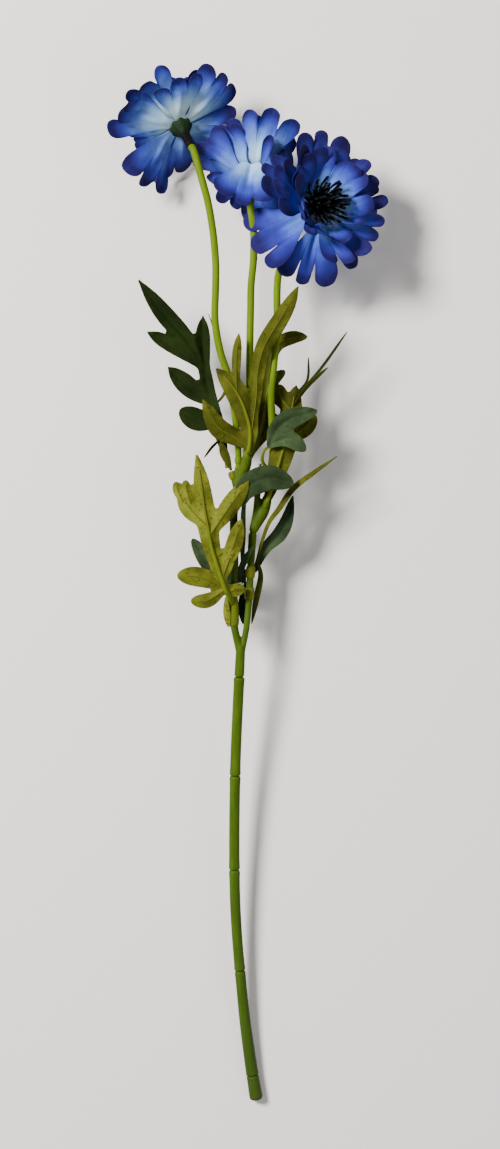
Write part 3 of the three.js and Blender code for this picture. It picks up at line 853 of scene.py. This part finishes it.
# %% [markdown]
# ## Petal layers
#
# Each layer is one stamped star: six petals on a small disc with a hole. A petal is narrow at
# the disc and fans out to rounded lobes with deep cuts between them. The cloth bends up
# or down just past the disc, is channelled along its middle, and each lobe has been ironed to a
# curl of its own. A petal starts as a grid: across it run the lobes, and along it the length.

# %% The shape of one petal
LAYERS = [
    ("petals_outer", 40, 15.5, 3),
    ("petals_middle", 37, 14.5, 3),
    ("petals_inner", 31, 11.5, 2),
]
LAYER_STEP = 1.6
HUB_HOLE = 1.6
HUB_RADIUS = 6.6
VALLEY = 5
BEND_LENGTH = 6
LOBE_COLUMNS = 10
PETAL_ROWS = 22
SECTOR = math.tan(math.radians(30))
FAN = 0.8
FAN_POWER = 1.8
LOBE_SIDE = 0.999
TABLE_CLEARANCE = 0.6


def petal_path(length, lift, curl):
    """The middle of a petal from the side: distance from the axis, rise and slope at s mm."""
    bend_start = HUB_RADIUS + 0.9 * (lift < 0)
    steps = 60
    step = 1.15 * length / steps
    path = [(0.0, 0.0, 0.0)]
    for i in range(steps):
        s = (i + 0.5) * step
        slope = math.radians(lift) * blend(s, bend_start, bend_start + BEND_LENGTH)
        slope += math.radians(curl) * blend(s, 0.45 * length, 1.05 * length)
        out, rise, _ = path[-1]
        path.append((out + math.cos(slope) * step, rise + math.sin(slope) * step, slope))

    def at(s):
        where = min(max(s / step, 0), steps - 1.001)
        i = int(where)
        return [mix(a, b, where - i) for a, b in zip(path[i], path[i + 1])]

    return at


def lobe_end(off, tip, slit, roundness):
    """How far the cloth reaches, as a share of the petal's length, at a place across a lobe.
    off is -1 to 1 from side to side. The end is round, and at the very side the slit begins."""
    if abs(off) > LOBE_SIDE:
        return slit
    return tip - roundness * (1 - math.sqrt(1 - (0.96 * off) ** 2))


fall = 1 - lobe_end(0.8, 1, 0.6, 0.12)
print("a lobe's end falls away", round(fall, 3), "of the length near its side")

# %% Cut, bend and stack the layers
SLITS = (0.52, 0.63, 0.72, 0.8)
NARROWING = 0.11
CHANNEL_WIDTH = 1.6
RIPPLE = 0.7
LOBE_DOME = 1.1
THROAT_DYE = 0.5
MARGIN_DYE = 0.76
END_DYE = 0.22
SLIT_DYE = 0.08
SIDE_DYE = 0.3
PETAL_CLOTH = 0.4


def petal_habit(rng, lobes):
    """What sets one petal apart from the next: how its lobes are cut, bent and dyed."""
    widths = [rng.uniform(0.75, 1.3) for _ in range(lobes)]
    edges = [2 * sum(widths[:i]) / sum(widths) - 1 for i in range(lobes + 1)]
    return {
        "edges": edges,
        "wide": rng.uniform(0.92, 1.14),
        "tips": [rng.uniform(0.92, 1.0) - 0.06 * (i != 1) * (lobes == 3) for i in range(lobes)],
        "slits": [rng.choice(SLITS) + rng.uniform(-0.03, 0.03) for _ in range(lobes + 1)],
        "curls": [rng.uniform(-6, 4) for _ in range(lobes)],
        "twists": [rng.uniform(-2.0, 2.0) for _ in range(lobes)],
        "tints": [rng.uniform(-0.14, 0.12) for _ in range(lobes)],
        "bend": rng.uniform(-26, 10),
        "channel": rng.uniform(0.6, 2.0),
        "cup": rng.uniform(-0.002, 0.018),
        "roll": rng.uniform(-0.36, 0.36),
        "flick": rng.uniform(-3.0, 3.0),
        "lean": rng.uniform(-3.0, 3.0),
        "lift": rng.uniform(-11, 11),
        "turn": rng.uniform(-4, 4),
        "wave": rng.uniform(0, 6.28),
    }


def petal(bm, flower, layer_index, k, habit):
    _, length, half_width, lobes = LAYERS[layer_index]
    turn, reaches, lifts, dyes_and_shade = flower["layers"][layer_index]
    azimuth = math.radians(turn + 60 * k + habit["turn"])
    outward = flower["right"] * math.cos(azimuth) + flower["up"] * math.sin(azimuth)
    sideways = flower["axis"].cross(outward)
    long = length * reaches[k]
    widest = half_width * habit["wide"] * min(1.0, 0.3 + 0.7 * reaches[k])
    path = petal_path(long, lifts[k] + habit["lift"], habit["bend"])

    def spot(u, v):
        lobe = min(int(u * lobes + 1e-6), lobes - 1)
        off = math.sin((2 * (u * lobes - lobe) - 1) * math.pi / 2)
        low, high = habit["edges"][lobe], habit["edges"][lobe + 1]
        tip = habit["tips"][lobe]
        roundness = 0.9 * widest * (high - low) / 2 / long
        slit = habit["slits"][lobe + (off > 0)]
        if (lobe == 0 and off < 0) or (lobe == lobes - 1 and off > 0):
            slit = tip - 1.3 * roundness
        s = mix(HUB_HOLE, long * lobe_end(off, tip, slit, roundness), v)
        share = s / long
        room = s * SECTOR
        if s > VALLEY:
            widen = min((s - VALLEY) / (FAN * long - VALLEY), 1.0)
            room = mix(VALLEY * SECTOR, widest, math.sin(widen * math.pi / 2) ** FAN_POWER)
        slit_here = mix(habit["slits"][lobe], habit["slits"][lobe + 1], (off + 1) / 2)
        free = blend(share, slit_here - 0.1, 1.04)
        narrowing = NARROWING * free * (abs(off) < LOBE_SIDE)
        side_edge = mix(low, high, (1 + off * (1 - narrowing)) / 2)
        across = room * side_edge
        out, rise, slope = path(s)
        fade = blend(s, HUB_RADIUS - 1, HUB_RADIUS + 9)
        open_end = blend(share, 0.4, 1.0)
        off_plane = habit["cup"] * across * across + habit["roll"] * across * share
        off_plane -= habit["channel"] * math.exp(-((across / CHANNEL_WIDTH) ** 2)) * (1 - open_end)
        off_plane += RIPPLE * math.sin(across * 0.45 + habit["wave"]) * share
        off_plane += LOBE_DOME * blend(share, 0.4, 0.85) * (0.5 - off * off)
        off_plane += open_end * habit["flick"] * side_edge**2
        off_plane += free * (habit["curls"][lobe] + habit["twists"][lobe] * off)
        normal = flower["axis"] * math.cos(slope) - outward * math.sin(slope)
        where = (
            flower["hub"]
            + outward * out
            + sideways * (across + habit["lean"] * blend(share, 0.2, 1.0))
            + flower["axis"] * (layer_index * LAYER_STEP + rise)
            + normal * off_plane * fade
        )
        where.z = max(where.z, TABLE_CLEARANCE)
        # A petal's depth of dye is partly uneven dyeing and partly painted shade, deeper where the
        # petal lies in shade.
        margin = MARGIN_DYE + (1 - MARGIN_DYE) * dyes_and_shade[k]
        shade = mix(THROAT_DYE * dyes_and_shade[k], margin, blend(share, 0.22, 1.02))
        shade += habit["tints"][lobe] * (1 - off**6) * open_end
        shade += END_DYE * blend(v, 0.8, 1.0) + SLIT_DYE * off**4 * free
        shade += SIDE_DYE * side_edge**4 * blend(share, 0.2, 0.55)
        return where, (across + 40 * k, s), min(max(shade, 0.0), 1.0)

    grid_skin(bm, lobes * LOBE_COLUMNS, PETAL_ROWS, spot)


for order, (name, flower) in enumerate(FLOWERS.items()):
    for layer_index, (layer, _, _, lobes) in enumerate(LAYERS):
        rng = random.Random(31 * order + 7 * layer_index + 5)
        bm = bmesh.new()
        for k in range(6):
            petal(bm, flower, layer_index, k, petal_habit(rng, lobes))
        finish_piece(
            f"{name}_{layer}_cloth", bm, [petal_back, petal_face], [f"{name}_{layer}"],
            thickness=PETAL_CLOTH, levels=1, seam=0.00002,
        )

# %% [markdown]
# ## Stamens
#
# The tuft is one dark moulding: a button over the petals with a crowd of soft filaments, each a
# little thicker at its tip and bent its own way. Filaments are spread over the button by the
# golden angle, which fills a disc evenly without rows.

# %% Stamen tufts
FILAMENTS = 64
GOLDEN = 2.399963
SPLAY = 60
TUFT_RADIUS = 3.4
DROOP = 2.4
BUTTON_RADIUS = 4.0


def filament_radius(share):
    return 0.55 + 0.3 * math.exp(-(((share - 0.88) / 0.16) ** 2))


for order, (name, flower) in enumerate(FLOWERS.items()):
    rng = random.Random(order + 11)
    base = flower["hub"] + flower["axis"] * (2 * LAYER_STEP + 0.6)
    bm = bmesh.new()
    for k in range(FILAMENTS):
        spread = math.sqrt((k + 0.5) / FILAMENTS)
        azimuth = k * GOLDEN
        out = flower["right"] * math.cos(azimuth) + flower["up"] * math.sin(azimuth)
        splay = math.radians(SPLAY * spread + rng.uniform(-6, 6))
        length = rng.uniform(12.5, 17)
        root = base + out * TUFT_RADIUS * spread
        start = root + (flower["axis"] * math.cos(splay) + out * math.sin(splay)) * length * 0.5
        upright = splay * 0.55
        bend = Vector([rng.uniform(-1.6, 1.6) for _ in range(3)])
        tip = start + (flower["axis"] * math.cos(upright) + out * math.sin(upright)) * length * 0.5
        tip -= flower["up"] * DROOP
        tube(bm, through([root, start, tip + bend]), filament_radius, 7, 8, end_length=0.75)
    button = through([base - flower["axis"] * 0.9, base + flower["axis"] * 1.9])
    tube(bm, button, lambda share: BUTTON_RADIUS, 18, 3, end_length=0.9)
    finish_piece(
        f"{name}_stamen_tuft", bm, [stamen_finish], [f"{name}_stamens"], levels=0
    )

# %% [markdown]
# ## Leaf fabric
#
# The leaves are printed on both sides: a deep blue-green top, and an olive underside with the
# dark speckle of the print showing through. The two sides are two finishes on one cloth, and
# the thickness modifier gives the far side the second one. Some leaves get a paler copy of the
# top, which is painted light, and all but the leaf that lies in front get a darker copy of the
# underside, which is painted shade.


# %% Leaf finishes
def leaf_fabric(name, light, mid, dark, speckle, speckle_amount):
    material, tree, shader = new_material(name)
    spots = tree.nodes.new("ShaderNodeTexCoord").outputs["Object"]
    uv = tree.nodes.new("ShaderNodeUVMap").outputs[0]
    broad = add_node(tree, "ShaderNodeTexNoise", {"Vector": spots, "Scale": 55.0, "Detail": 4.0})
    base = add_ramp(tree, broad.outputs["Fac"], [(0.3, dark), (0.5, mid), (0.72, light)])
    speckles = {"Vector": spots, "Scale": 520.0, "Detail": 2.0, "Roughness": 0.7}
    small = add_node(tree, "ShaderNodeTexNoise", speckles)
    flecks = add_ramp(tree, small.outputs["Fac"], [(0.56, grey(0)), (0.68, grey(1))])
    amount = add_node(tree, "ShaderNodeMath", {0: flecks, 1: speckle_amount}, operation="MULTIPLY")
    flecked = add_mix(tree, amount.outputs[0], base, speckle)
    lay_weave(tree, shader, uv, flecked, (0.86, 1.1), 0.4, 0.00012)
    shader.inputs["Roughness"].default_value = 0.7
    shader.inputs["Specular IOR Level"].default_value = 0.03
    print(name, "has", len(tree.nodes), "nodes")
    return material


LEAF_SHADES = {
    "leaf_top": ((34, 48, 18), (25, 36, 10), (17, 26, 7), (10, 15, 4), 0.4),
    # The pale top is the same print as leaf_top with painted light on it.
    "leaf_top_lit": ((62, 79, 50), (46, 61, 37), (32, 45, 25), (18, 26, 14), 0.4),
    "leaf_under": ((118, 123, 40), (92, 96, 28), (60, 62, 14), (38, 35, 9), 0.7),
    # The deep underside is the same print as leaf_under with painted shade on it.
    "leaf_under_shaded": ((88, 92, 28), (68, 71, 18), (46, 49, 10), (28, 27, 7), 0.5),
}
leaf_finishes = {
    name: leaf_fabric(name, *(colour(*shade) for shade in shades), amount)
    for name, (*shades, amount) in LEAF_SHADES.items()
}

# %% [markdown]
# ## Leaf blades
#
# A leaf is stamped flat in one piece, with a long main lobe and side lobes that melt into it.
# To get that outline, each lobe is a swollen line, and the distance to the nearest one,
# rounded where two meet, says what is cloth and what is not. A flat grid is laid over the leaf,
# what lies outside is deleted, and the border is slid on to the outline. Then the cloth takes
# its height from the lobes below it. Lobes that stand on edge, and thin needles, are ribbons.

# %% Leaves
LEAVES = {
    "leaf_low_front": {
        "side": 1, "point": 0.5, "rib": (2.1, 0.4),
        "sleeve": ("branch_left", 0.19, 0.46, 2.1, 1.4),
        "lead": [(-9.6, -16, 32.6), (-10.7, -12.5, 36.4), (-11.8, -10, 39)],
        "lobes": [
            (5, 0, [
                (-13, -8, 40), (-16, 1, 42.5), (-20, 14, 44), (-22, 25, 45), (-24, 36, 45),
                (-25.7, 50, 44), (-28, 63, 42),
            ]),
            (4.6, 8, [(-22, 25, 45), (-31, 34, 44), (-36, 43, 42)]),
            (2.4, 0, [(-35, 38, 43), (-37.6, 43.5, 42.4), (-39, 48.5, 41.8)]),
            (2.4, 0, [(-31, 37, 43.6), (-33, 43.5, 43), (-34, 49.5, 42.4)]),
            (4.6, -10, [(-20.5, 21, 44.8), (-11, 35, 46), (-1, 49, 45)]),
            (4, -15, [(-15.5, 0, 42.3), (-9, 14, 42.5), (-4.6, 29, 41)]),
            (4.8, 10, [(-13.5, -6.5, 40.8), (-26, -1.5, 42), (-38, -0.5, 40)]),
            (3.6, 5, [(-13, -8, 40), (-22, -13.5, 40), (-31, -14, 38)]),
            (2.8, -20, [(-14.6, -3, 41.6), (-12.4, 3.5, 43.4), (-8.9, 12.3, 43)]),
            (3.2, 0, [(-11.5, -9.5, 39), (-8, -8.3, 37.8), (-3.4, -7.5, 36.6)]),
            (1.9, 20, [(-12.6, -12, 38), (-12.4, -20, 35), (-11.4, -28, 33)]),
        ],
    },
    "leaf_low_back": {
        "side": -1, "point": 0.2, "rib": (1.3, 0.3),
        "sleeve": ("branch_right", 0.5, 0.61, 2.05, 0.6),
        "lead": [(-0.6, -9.5, 26), (-1.6, -7.5, 24.4)],
        "lobes": [
            (2.2, 55, [
                (-2.5, -5, 25), (-4.2, 7.7, 27), (-4, 20, 33), (-3.8, 33, 40), (-2.5, 43, 43.5),
            ]),
            (6.3, 0, [(-4, 38, 42.6), (-1.5, 45.5, 44), (9.5, 50.5, 45), (22, 47.5, 43)]),
            (4.2, 0, [(-3.5, 2, 25.5), (-19, 3.5, 22), (-31, 19, 20)]),
            (2.6, 0, [(-3, -3, 25), (-17, -2.9, 22), (-24.6, 1.3, 20)]),
            (2.1, 0, [(-2.5, -5, 25), (-4, -15, 24), (-3.6, -26.5, 24)]),
            (1.7, 10, [(-3.6, -4.5, 26), (-5, 1, 31.4), (-2.6, 8, 35), (1.8, 15, 35.4)]),
        ],
    },
    "leaf_low_right": {
        "side": -1, "point": 0.5, "rib": (1.2, 0.3),
        "sleeve": ("branch_right", 0.68, 0.78, 2.05, 0.6),
        "lead": [(0.9, -0.5, 26.4), (1.7, 0.5, 24.6)],
        "lobes": [
            (3.6, 10, [
                (2.5, 2, 24.5), (8.5, 14, 26), (15.4, 21, 27), (19.6, 29, 28), (22.8, 42, 28),
            ]),
            (1.9, 140, [
                (3, 6, 25), (9, 25.6, 32.5), (15.3, 35, 35), (22.6, 45.5, 37), (33, 53.4, 39),
                (46, 62.3, 40),
            ]),
            (1.8, 150, [(4, 7, 24.8), (5.8, -1, 24), (3.6, -13, 24), (0.8, -26.5, 24)]),
        ],
    },
    "leaf_left": {
        "side": -1, "point": 0.9, "rib": (1.4, 0.3),
        "sleeve": ("arm_left", 0.5, 1.0, 1.8, 0.5),
        "lead": [(-11.9, 56, 37.2), (-12.3, 59.5, 36.8)],
        "lobes": [
            (3.5, 0, [
                (-12.5, 62, 38), (-14.5, 69, 38), (-17, 79, 38), (-21.6, 94.6, 37),
                (-24.7, 110.3, 38), (-32, 121.9, 38),
            ]),
            (4.5, 0, [(-24, 107, 37.8), (-32, 121.9, 38), (-46, 138, 40), (-59, 155.3, 40)]),
            (3.6, 0, [(-25, 109, 37.9), (-41, 120.4, 37), (-54.5, 128, 37)]),
            (3.6, 0, [(-23, 100, 37.3), (-24.8, 121, 36), (-24.8, 136.5, 36)]),
            (4.8, 0, [(-20.5, 90, 37.2), (-31.7, 98.4, 35), (-43.3, 109.6, 34)]),
            (5.4, 0, [(-17.5, 80, 37.9), (-27.5, 81.5, 34), (-37, 87, 33)]),
            (1.2, 150, [
                (-20, 88, 37.3), (-13.5, 96, 33), (-12.5, 108, 32), (-17, 124, 32), (-22, 138, 33),
            ]),
            (2.2, 175, [(-10.2, 55.6, 38.8), (-12, 60, 40), (-14, 65, 40.4), (-15.6, 70.5, 39.6)]),
        ],
    },
    "leaf_centre": {
        "side": 1, "point": 0.5, "rib": (1.9, 0.35),
        "sleeve": ("flower_middle", 0.02, 0.07, 1.7, 0.4),
        "lead": [(-1.9, 60.5, 39.6), (-1.4, 64, 42)],
        "lobes": [
            (5.6, 0, [
                (-0.5, 66, 44), (0, 75.7, 45), (-3.7, 88.6, 46.5), (-9, 98, 47.5), (
                    -17.5, 107.5, 47
                ),
            ]),
            (2.3, 15, [(-7, 93, 47), (-7.1, 112, 47), (-5.8, 126.2, 46)]),
            (4.2, 0, [
                (0.4, 72, 44.8), (3.1, 91.3, 45.5), (4.2, 107, 46), (7.8, 120, 47),
                (15.7, 133, 47.5), (21, 142, 48), (25, 150, 50),
            ]),
            (4.8, 10, [(-0.7, 67, 44.2), (-9.4, 72.4, 46), (-17.2, 77.5, 48), (-24.5, 91, 49)]),
            (0.9, 130, [(-12, 73.5, 46.7), (-19.4, 67.3, 45), (-24.1, 61.1, 43)]),
        ],
    },
    "leaf_behind": {
        "side": 1, "point": 0.5, "rib": (1.1, 0.3),
        "sleeve": ("flower_left", 0.015, 0.05, 1.7, 0.3),
        "lead": [(-6.1, 58.5, 35.4), (-4, 60.5, 32.5)],
        "lobes": [
            (3.2, 0, [
                (0, 61.6, 31.5), (6, 76.5, 31), (8.5, 92.5, 31), (10, 107, 31), (14.5, 119, 32),
            ]),
            (3.4, 0, [(10.4, 109, 31), (14.5, 121, 32), (22, 125.4, 32.6), (30.5, 125.6, 33)]),
            (2.4, 0, [(8.5, 92, 31), (13.8, 103.5, 31), (18.5, 107.7, 32)]),
            (3.4, 0, [(2, 66, 31.3), (9.5, 77.6, 30), (14, 85, 30)]),
        ],
    },
    "leaf_right": {
        "side": 1, "point": 0.35, "rib": (1.8, 0.35),
        "sleeve": ("flower_right", 0.02, 0.09, 1.8, 0.5),
        "lead": [(8, 36, 35), (8.9, 39.2, 38.2)],
        "lobes": [
            (6, 0, [
                (9.5, 40, 38.6), (12.7, 50, 40), (15.9, 60.7, 40), (20.2, 76.7, 38),
                (22.3, 88.3, 35.5), (24.4, 99.5, 34),
            ]),
            (4.5, 0, [(18.8, 71, 39), (27.6, 76.6, 37), (34, 83.5, 36)]),
            (4, 0, [(22, 86, 36), (16.5, 93, 34), (15, 99.5, 34)]),
            (1.9, 60, [(22.2, 87.5, 35.6), (30, 98.5, 36), (41, 109, 38)]),
            (1.4, 120, [(23.3, 93, 34.8), (37.5, 108.5, 34), (51.3, 128, 36)]),
            (1.1, 120, [(23.7, 95, 34.5), (30.5, 103, 32), (31, 115.1, 32)]),
        ],
    },
    "leaf_right_front": {
        "side": -1, "point": 0.4, "rib": (1.2, 0.3),
        "sleeve": ("flower_right", 0.15, 0.19, 1.65, 0.4),
        "lead": [(9, 55.5, 35.5), (6.4, 60, 39), (7.4, 65, 41.2)],
        "lobes": [
            (5, 0, [(10.5, 68, 43), (14.1, 75.5, 44.5), (21.9, 81.7, 46), (35.2, 85.5, 46)]),
            (4, 0, [(10.5, 68, 43), (19.9, 71, 45), (29, 65, 44)]),
        ],
    },
}
WIDEST = 0.56
FULLNESS = 1.1


def lobe_width(share, point):
    """The width of a lobe along its length: it swells from its root and ends blunt or pointed."""
    swell = blend(share, -0.35, WIDEST)
    closing = max(0.0, (share - WIDEST) / (1 - WIDEST))
    return max(0.1, FULLNESS * swell * max(0.0, 1 - closing**2.2) ** mix(0.5, 1.1, point))


print(len(LEAVES), "leaves,", sum(len(leaf["lobes"]) for leaf in LEAVES.values()), "lobes")

# %% The outline and the lie of a blade
CELL = 0.9
CREASE = 0.5
MELT = 0.5
SPINE_SAMPLES = 22
GRID_MARGIN = 8
PROBE = 0.15
FOLD = 0.24
RUFFLE = 1.3
EDGE_WAVE = 0.9


def spine_samples(lobe, point):
    half_width, _, points = lobe
    route = through(points)
    shares = [i / (SPINE_SAMPLES - 1) for i in range(SPINE_SAMPLES)]
    return [(route(share), half_width * lobe_width(share, point)) for share in shares]


def outline_at(x, y, spines):
    """Signed distance to the leaf's outline, its height there, and the distance to a spine."""
    total, level_sum, nearest, pooled = 0.0, 0.0, 1e9, 0.0
    for spine in spines:
        best = 1e9
        for (a, wide_a), (b, wide_b) in zip(spine, spine[1:]):
            dx, dy = b.x - a.x, b.y - a.y
            part = ((x - a.x) * dx + (y - a.y) * dy) / (dx * dx + dy * dy + 1e-9)
            part = min(max(part, 0.0), 1.0)
            away = math.hypot(x - a.x - dx * part, y - a.y - dy * part)
            best = min(best, away - mix(wide_a, wide_b, part))
            nearest = min(nearest, away)
            weight = 1 / (away * away + 0.6) ** 2
            total += weight
            level_sum += weight * mix(a.z, b.z, part)
        pooled += math.exp(-best / MELT)
    return -MELT * math.log(pooled + 1e-30), level_sum / total, nearest


def flat_blade(bm, lobes, side, point, seed):
    spines = [spine_samples(lobe, point) for lobe in lobes]
    xs = [spot.x for spine in spines for spot, _ in spine]
    ys = [spot.y for spine in spines for spot, _ in spine]
    low_x, high_x = min(xs) - GRID_MARGIN, max(xs) + GRID_MARGIN
    low_y, high_y = min(ys) - GRID_MARGIN, max(ys) + GRID_MARGIN
    columns = round((high_x - low_x) / CELL)
    rows = round((high_y - low_y) / CELL)
    sheet = bmesh.new()
    bmesh.ops.create_grid(sheet, x_segments=columns, y_segments=rows, size=0.5)
    known = {}
    for vert in sheet.verts:
        vert.co = (mix(low_x, high_x, vert.co.x + 0.5), mix(low_y, high_y, vert.co.y + 0.5), 0)
        known[vert] = outline_at(vert.co.x, vert.co.y, spines)[0]
    outside = [vert for vert in sheet.verts if known[vert] > 0.62 * CELL]
    bmesh.ops.delete(sheet, geom=outside, context="VERTS")
    loose = [vert for vert in sheet.verts if not vert.link_faces]
    bmesh.ops.delete(sheet, geom=loose, context="VERTS")
    for _ in range(3):
        border = [vert for vert in sheet.verts if vert.is_boundary]
        for vert in border:
            x, y = vert.co.x, vert.co.y
            here = outline_at(x, y, spines)[0]
            slope = Vector((
                outline_at(x + PROBE, y, spines)[0] - here,
                outline_at(x, y + PROBE, spines)[0] - here,
                0,
            )) / PROBE
            vert.co -= slope * here / max(slope.length_squared, 0.3)
        rest = [vert for vert in sheet.verts if not vert.is_boundary]
        bmesh.ops.smooth_vert(sheet, verts=rest, factor=0.4, use_axis_x=True, use_axis_y=True)
    reach_layer = sheet.verts.layers.float.new("reach")
    uv_layer = sheet.loops.layers.uv.verify()
    for vert in sheet.verts:
        edge, height, spine_away = outline_at(vert.co.x, vert.co.y, spines)
        x, y = vert.co.x, vert.co.y
        for loop in vert.link_loops:
            loop[uv_layer].uv = (x, y)
        crease = CREASE * math.exp(-((spine_away / 0.9) ** 2))
        fold = FOLD * min(spine_away, 5)
        ruffle = RUFFLE * noise.noise(Vector((x * 0.13, y * 0.13, seed)))
        ruffle *= blend(spine_away, 0.4, 3)
        edge_wave = EDGE_WAVE * noise.noise(Vector((x * 0.3, y * 0.3, seed + 9)))
        edge_wave *= blend(edge, -2.5, 0)
        vert[reach_layer] = min(spine_away / 5, 1)
        vert.co = place((x, y, height + side * (crease - fold) + ruffle + edge_wave))
    if side < 0:
        bmesh.ops.reverse_faces(sheet, faces=sheet.faces)
    flat_mesh = bpy.data.meshes.new("flat_blade")
    sheet.to_mesh(flat_mesh)
    sheet.free()
    bm.from_mesh(flat_mesh)
    bpy.data.meshes.remove(flat_mesh)


def ribbon(bm, lobe, side, point):
    half_width, lean, points = lobe
    route = through(points)
    lean_angle = math.radians(lean)

    def spot(u, v):
        forward = (route(v + 0.01) - route(v - 0.01)).normalized()
        level = Vector((forward.y, -forward.x, 0)).normalized()
        sideways = level * math.cos(lean_angle) + forward.cross(level) * math.sin(lean_angle)
        across = (2 * u - 1) * half_width * lobe_width(v, point)
        trough = -0.2 * side * abs(across)
        where = route(v) + sideways * across + sideways.cross(forward) * trough
        return where, (across, v * 40), abs(2 * u - 1)

    made = grid_skin(bm, 6, 40, spot)
    faces = list({face for vert in made for face in vert.link_faces})
    if side < 0:
        bmesh.ops.reverse_faces(bm, faces=faces)


print("a blade's grid has cells of", CELL, "mm")

# %% Stamp the blades
FLAT_ENOUGH = 30
NARROW = 2.2
LEAF_CLOTH = 0.45
# Leaves whose top takes the paler finish, which is painted light.
LIT_TOPPED = ("leaf_low_back", "leaf_low_right", "leaf_right_front")


def is_wide(lobe):
    return lobe[0] > NARROW and abs(lobe[1]) <= FLAT_ENOUGH


for order, (name, leaf) in enumerate(LEAVES.items()):
    side, point = leaf["side"], leaf["point"]
    bm = bmesh.new()
    bm.verts.layers.float.new("reach")
    bm.loops.layers.uv.verify()
    flat_blade(bm, [lobe for lobe in leaf["lobes"] if is_wide(lobe)], side, point, order * 3.7)
    for lobe in leaf["lobes"]:
        if not is_wide(lobe):
            ribbon(bm, lobe, side, point)
    # All leaves but the front one take the darker underside, which is painted shade.
    under = leaf_finishes["leaf_under" if name == "leaf_low_front" else "leaf_under_shaded"]
    top = leaf_finishes["leaf_top_lit" if name in LIT_TOPPED else "leaf_top"]
    finish_piece(
        f"{name}_cloth", bm, [under, top], [f"{name}_blade"],
        thickness=LEAF_CLOTH, levels=1, seam=0.000001,
    )

# %% [markdown]
# ## Leaf ribs
#
# A rib is moulded on to the back of the cloth: a sleeve that grips the branch, a stalk, a
# midrib that thins out towards the tip, and a fine vein into every side lobe that is wide and flat.

# %% Ribs
RIB_STOP = 0.93
VEIN_STOP = 0.8
VEIN_ROOT = 0.35
VEIN_TIP = 0.2


def on_cloth(points, side, radius):
    """Moves a rib's points to the leaf's underside, so that it is only half sunk in the cloth."""
    lift = CREASE + 0.1 if side > 0 else CREASE + 0.3 + 0.7 * radius
    return [(x, y, z + side * lift) for x, y, z in points]


def vein_radius(share):
    return mix(VEIN_ROOT, VEIN_TIP, share)


for name, leaf in LEAVES.items():
    side, (thick, thin) = leaf["side"], leaf["rib"]
    on, low, high, inner, wall = leaf["sleeve"]
    bm = bmesh.new()

    def sleeve_radius(share, low=low, high=high, inner=inner, wall=wall):
        part = min(max((share - low) / (high - low), 0), 1)
        return inner + wall * math.sin(math.pi * part) ** 0.6

    def rib_radius(share, thick=thick, thin=thin):
        return mix(thick, thin, min(share / RIB_STOP, 1) ** 0.75)

    tube(bm, routes[on], sleeve_radius, 18, 14, low, high, end_length=0.6)
    midrib = through([*leaf["lead"], *on_cloth(leaf["lobes"][0][2], side, thick)])
    tube(bm, midrib, rib_radius, 12, 40, 0, RIB_STOP, end_length=0.6)
    for lobe in leaf["lobes"][1:]:
        if is_wide(lobe):
            vein = through(on_cloth(lobe[2], side, 0.3))
            made = tube(bm, vein, vein_radius, 8, 18, 0, VEIN_STOP, end_length=0.4)
            reach_layer = bm.verts.layers.float["reach"]
            for vert in made:
                vert[reach_layer] = 1.0
    finish_piece(f"{name}_moulded_rib", bm, [rib_finish], [f"{name}_rib"], levels=0)

# %% [markdown]
# ## Table, light and camera
#
# The spray lies on a plain pale table. A broad soft light high on the left gives the shadows
# that fall to the right, and a weak one opposite keeps them open. The camera looks straight
# down from 1.2 m, and its lens is set so that it takes in 609 mm along the spray, at the height
# of the fork.

# %% Table
TABLE_REACH = 3
bm = bmesh.new()
bmesh.ops.create_grid(bm, x_segments=1, y_segments=1, size=TABLE_REACH)
floor_mesh = bpy.data.meshes.new("table_top")
bm.to_mesh(floor_mesh)
bm.free()
floor = bpy.data.objects.new("table_top", floor_mesh)
bpy.context.scene.collection.objects.link(floor)
floor_finish, tree, shader = new_material("pale_table")
shader.inputs["Base Color"].default_value = colour(234, 230, 227)
shader.inputs["Roughness"].default_value = 0.95
floor_mesh.materials.append(floor_finish)
print("the table reaches", TABLE_REACH, "m each way")

# %% Lights and camera
WORLD_STRENGTH = 0.35
world = bpy.data.worlds.new("studio")
world.use_nodes = True
world.node_tree.nodes["Background"].inputs["Color"].default_value = (1, 0.985, 0.97, 1)
world.node_tree.nodes["Background"].inputs["Strength"].default_value = WORLD_STRENGTH
bpy.context.scene.world = world


def soft_light(name, where, size, power, tint):
    lamp = bpy.data.lights.new(name, "AREA")
    lamp.shape = "DISK"
    lamp.size = size
    lamp.energy = power
    lamp.color = tint
    holder = bpy.data.objects.new(name, lamp)
    bpy.context.scene.collection.objects.link(holder)
    holder.location = where
    holder.rotation_mode = "QUATERNION"
    holder.rotation_quaternion = (-Vector(where)).to_track_quat("-Z", "Y")
    print(name, "at", where)


soft_light("window_light", (-1.1, 0.7, 1.5), 0.6, 95, (1, 0.98, 0.95))
soft_light("fill_light", (1.2, -0.6, 1.4), 1.4, 8, (0.95, 0.97, 1))

CAMERA_HEIGHT = 1200
VIEW_LENGTH = 609.0
FORK_HEIGHT = 30
SENSOR = 36
camera = bpy.data.cameras.new("camera")
camera.sensor_width = SENSOR
camera.lens = SENSOR * (CAMERA_HEIGHT - FORK_HEIGHT) / VIEW_LENGTH
camera_holder = bpy.data.objects.new("camera", camera)
bpy.context.scene.collection.objects.link(camera_holder)
camera_holder.location = place((0, 0, CAMERA_HEIGHT))
bpy.context.scene.camera = camera_holder
print("lens", round(camera.lens, 1), "mm")
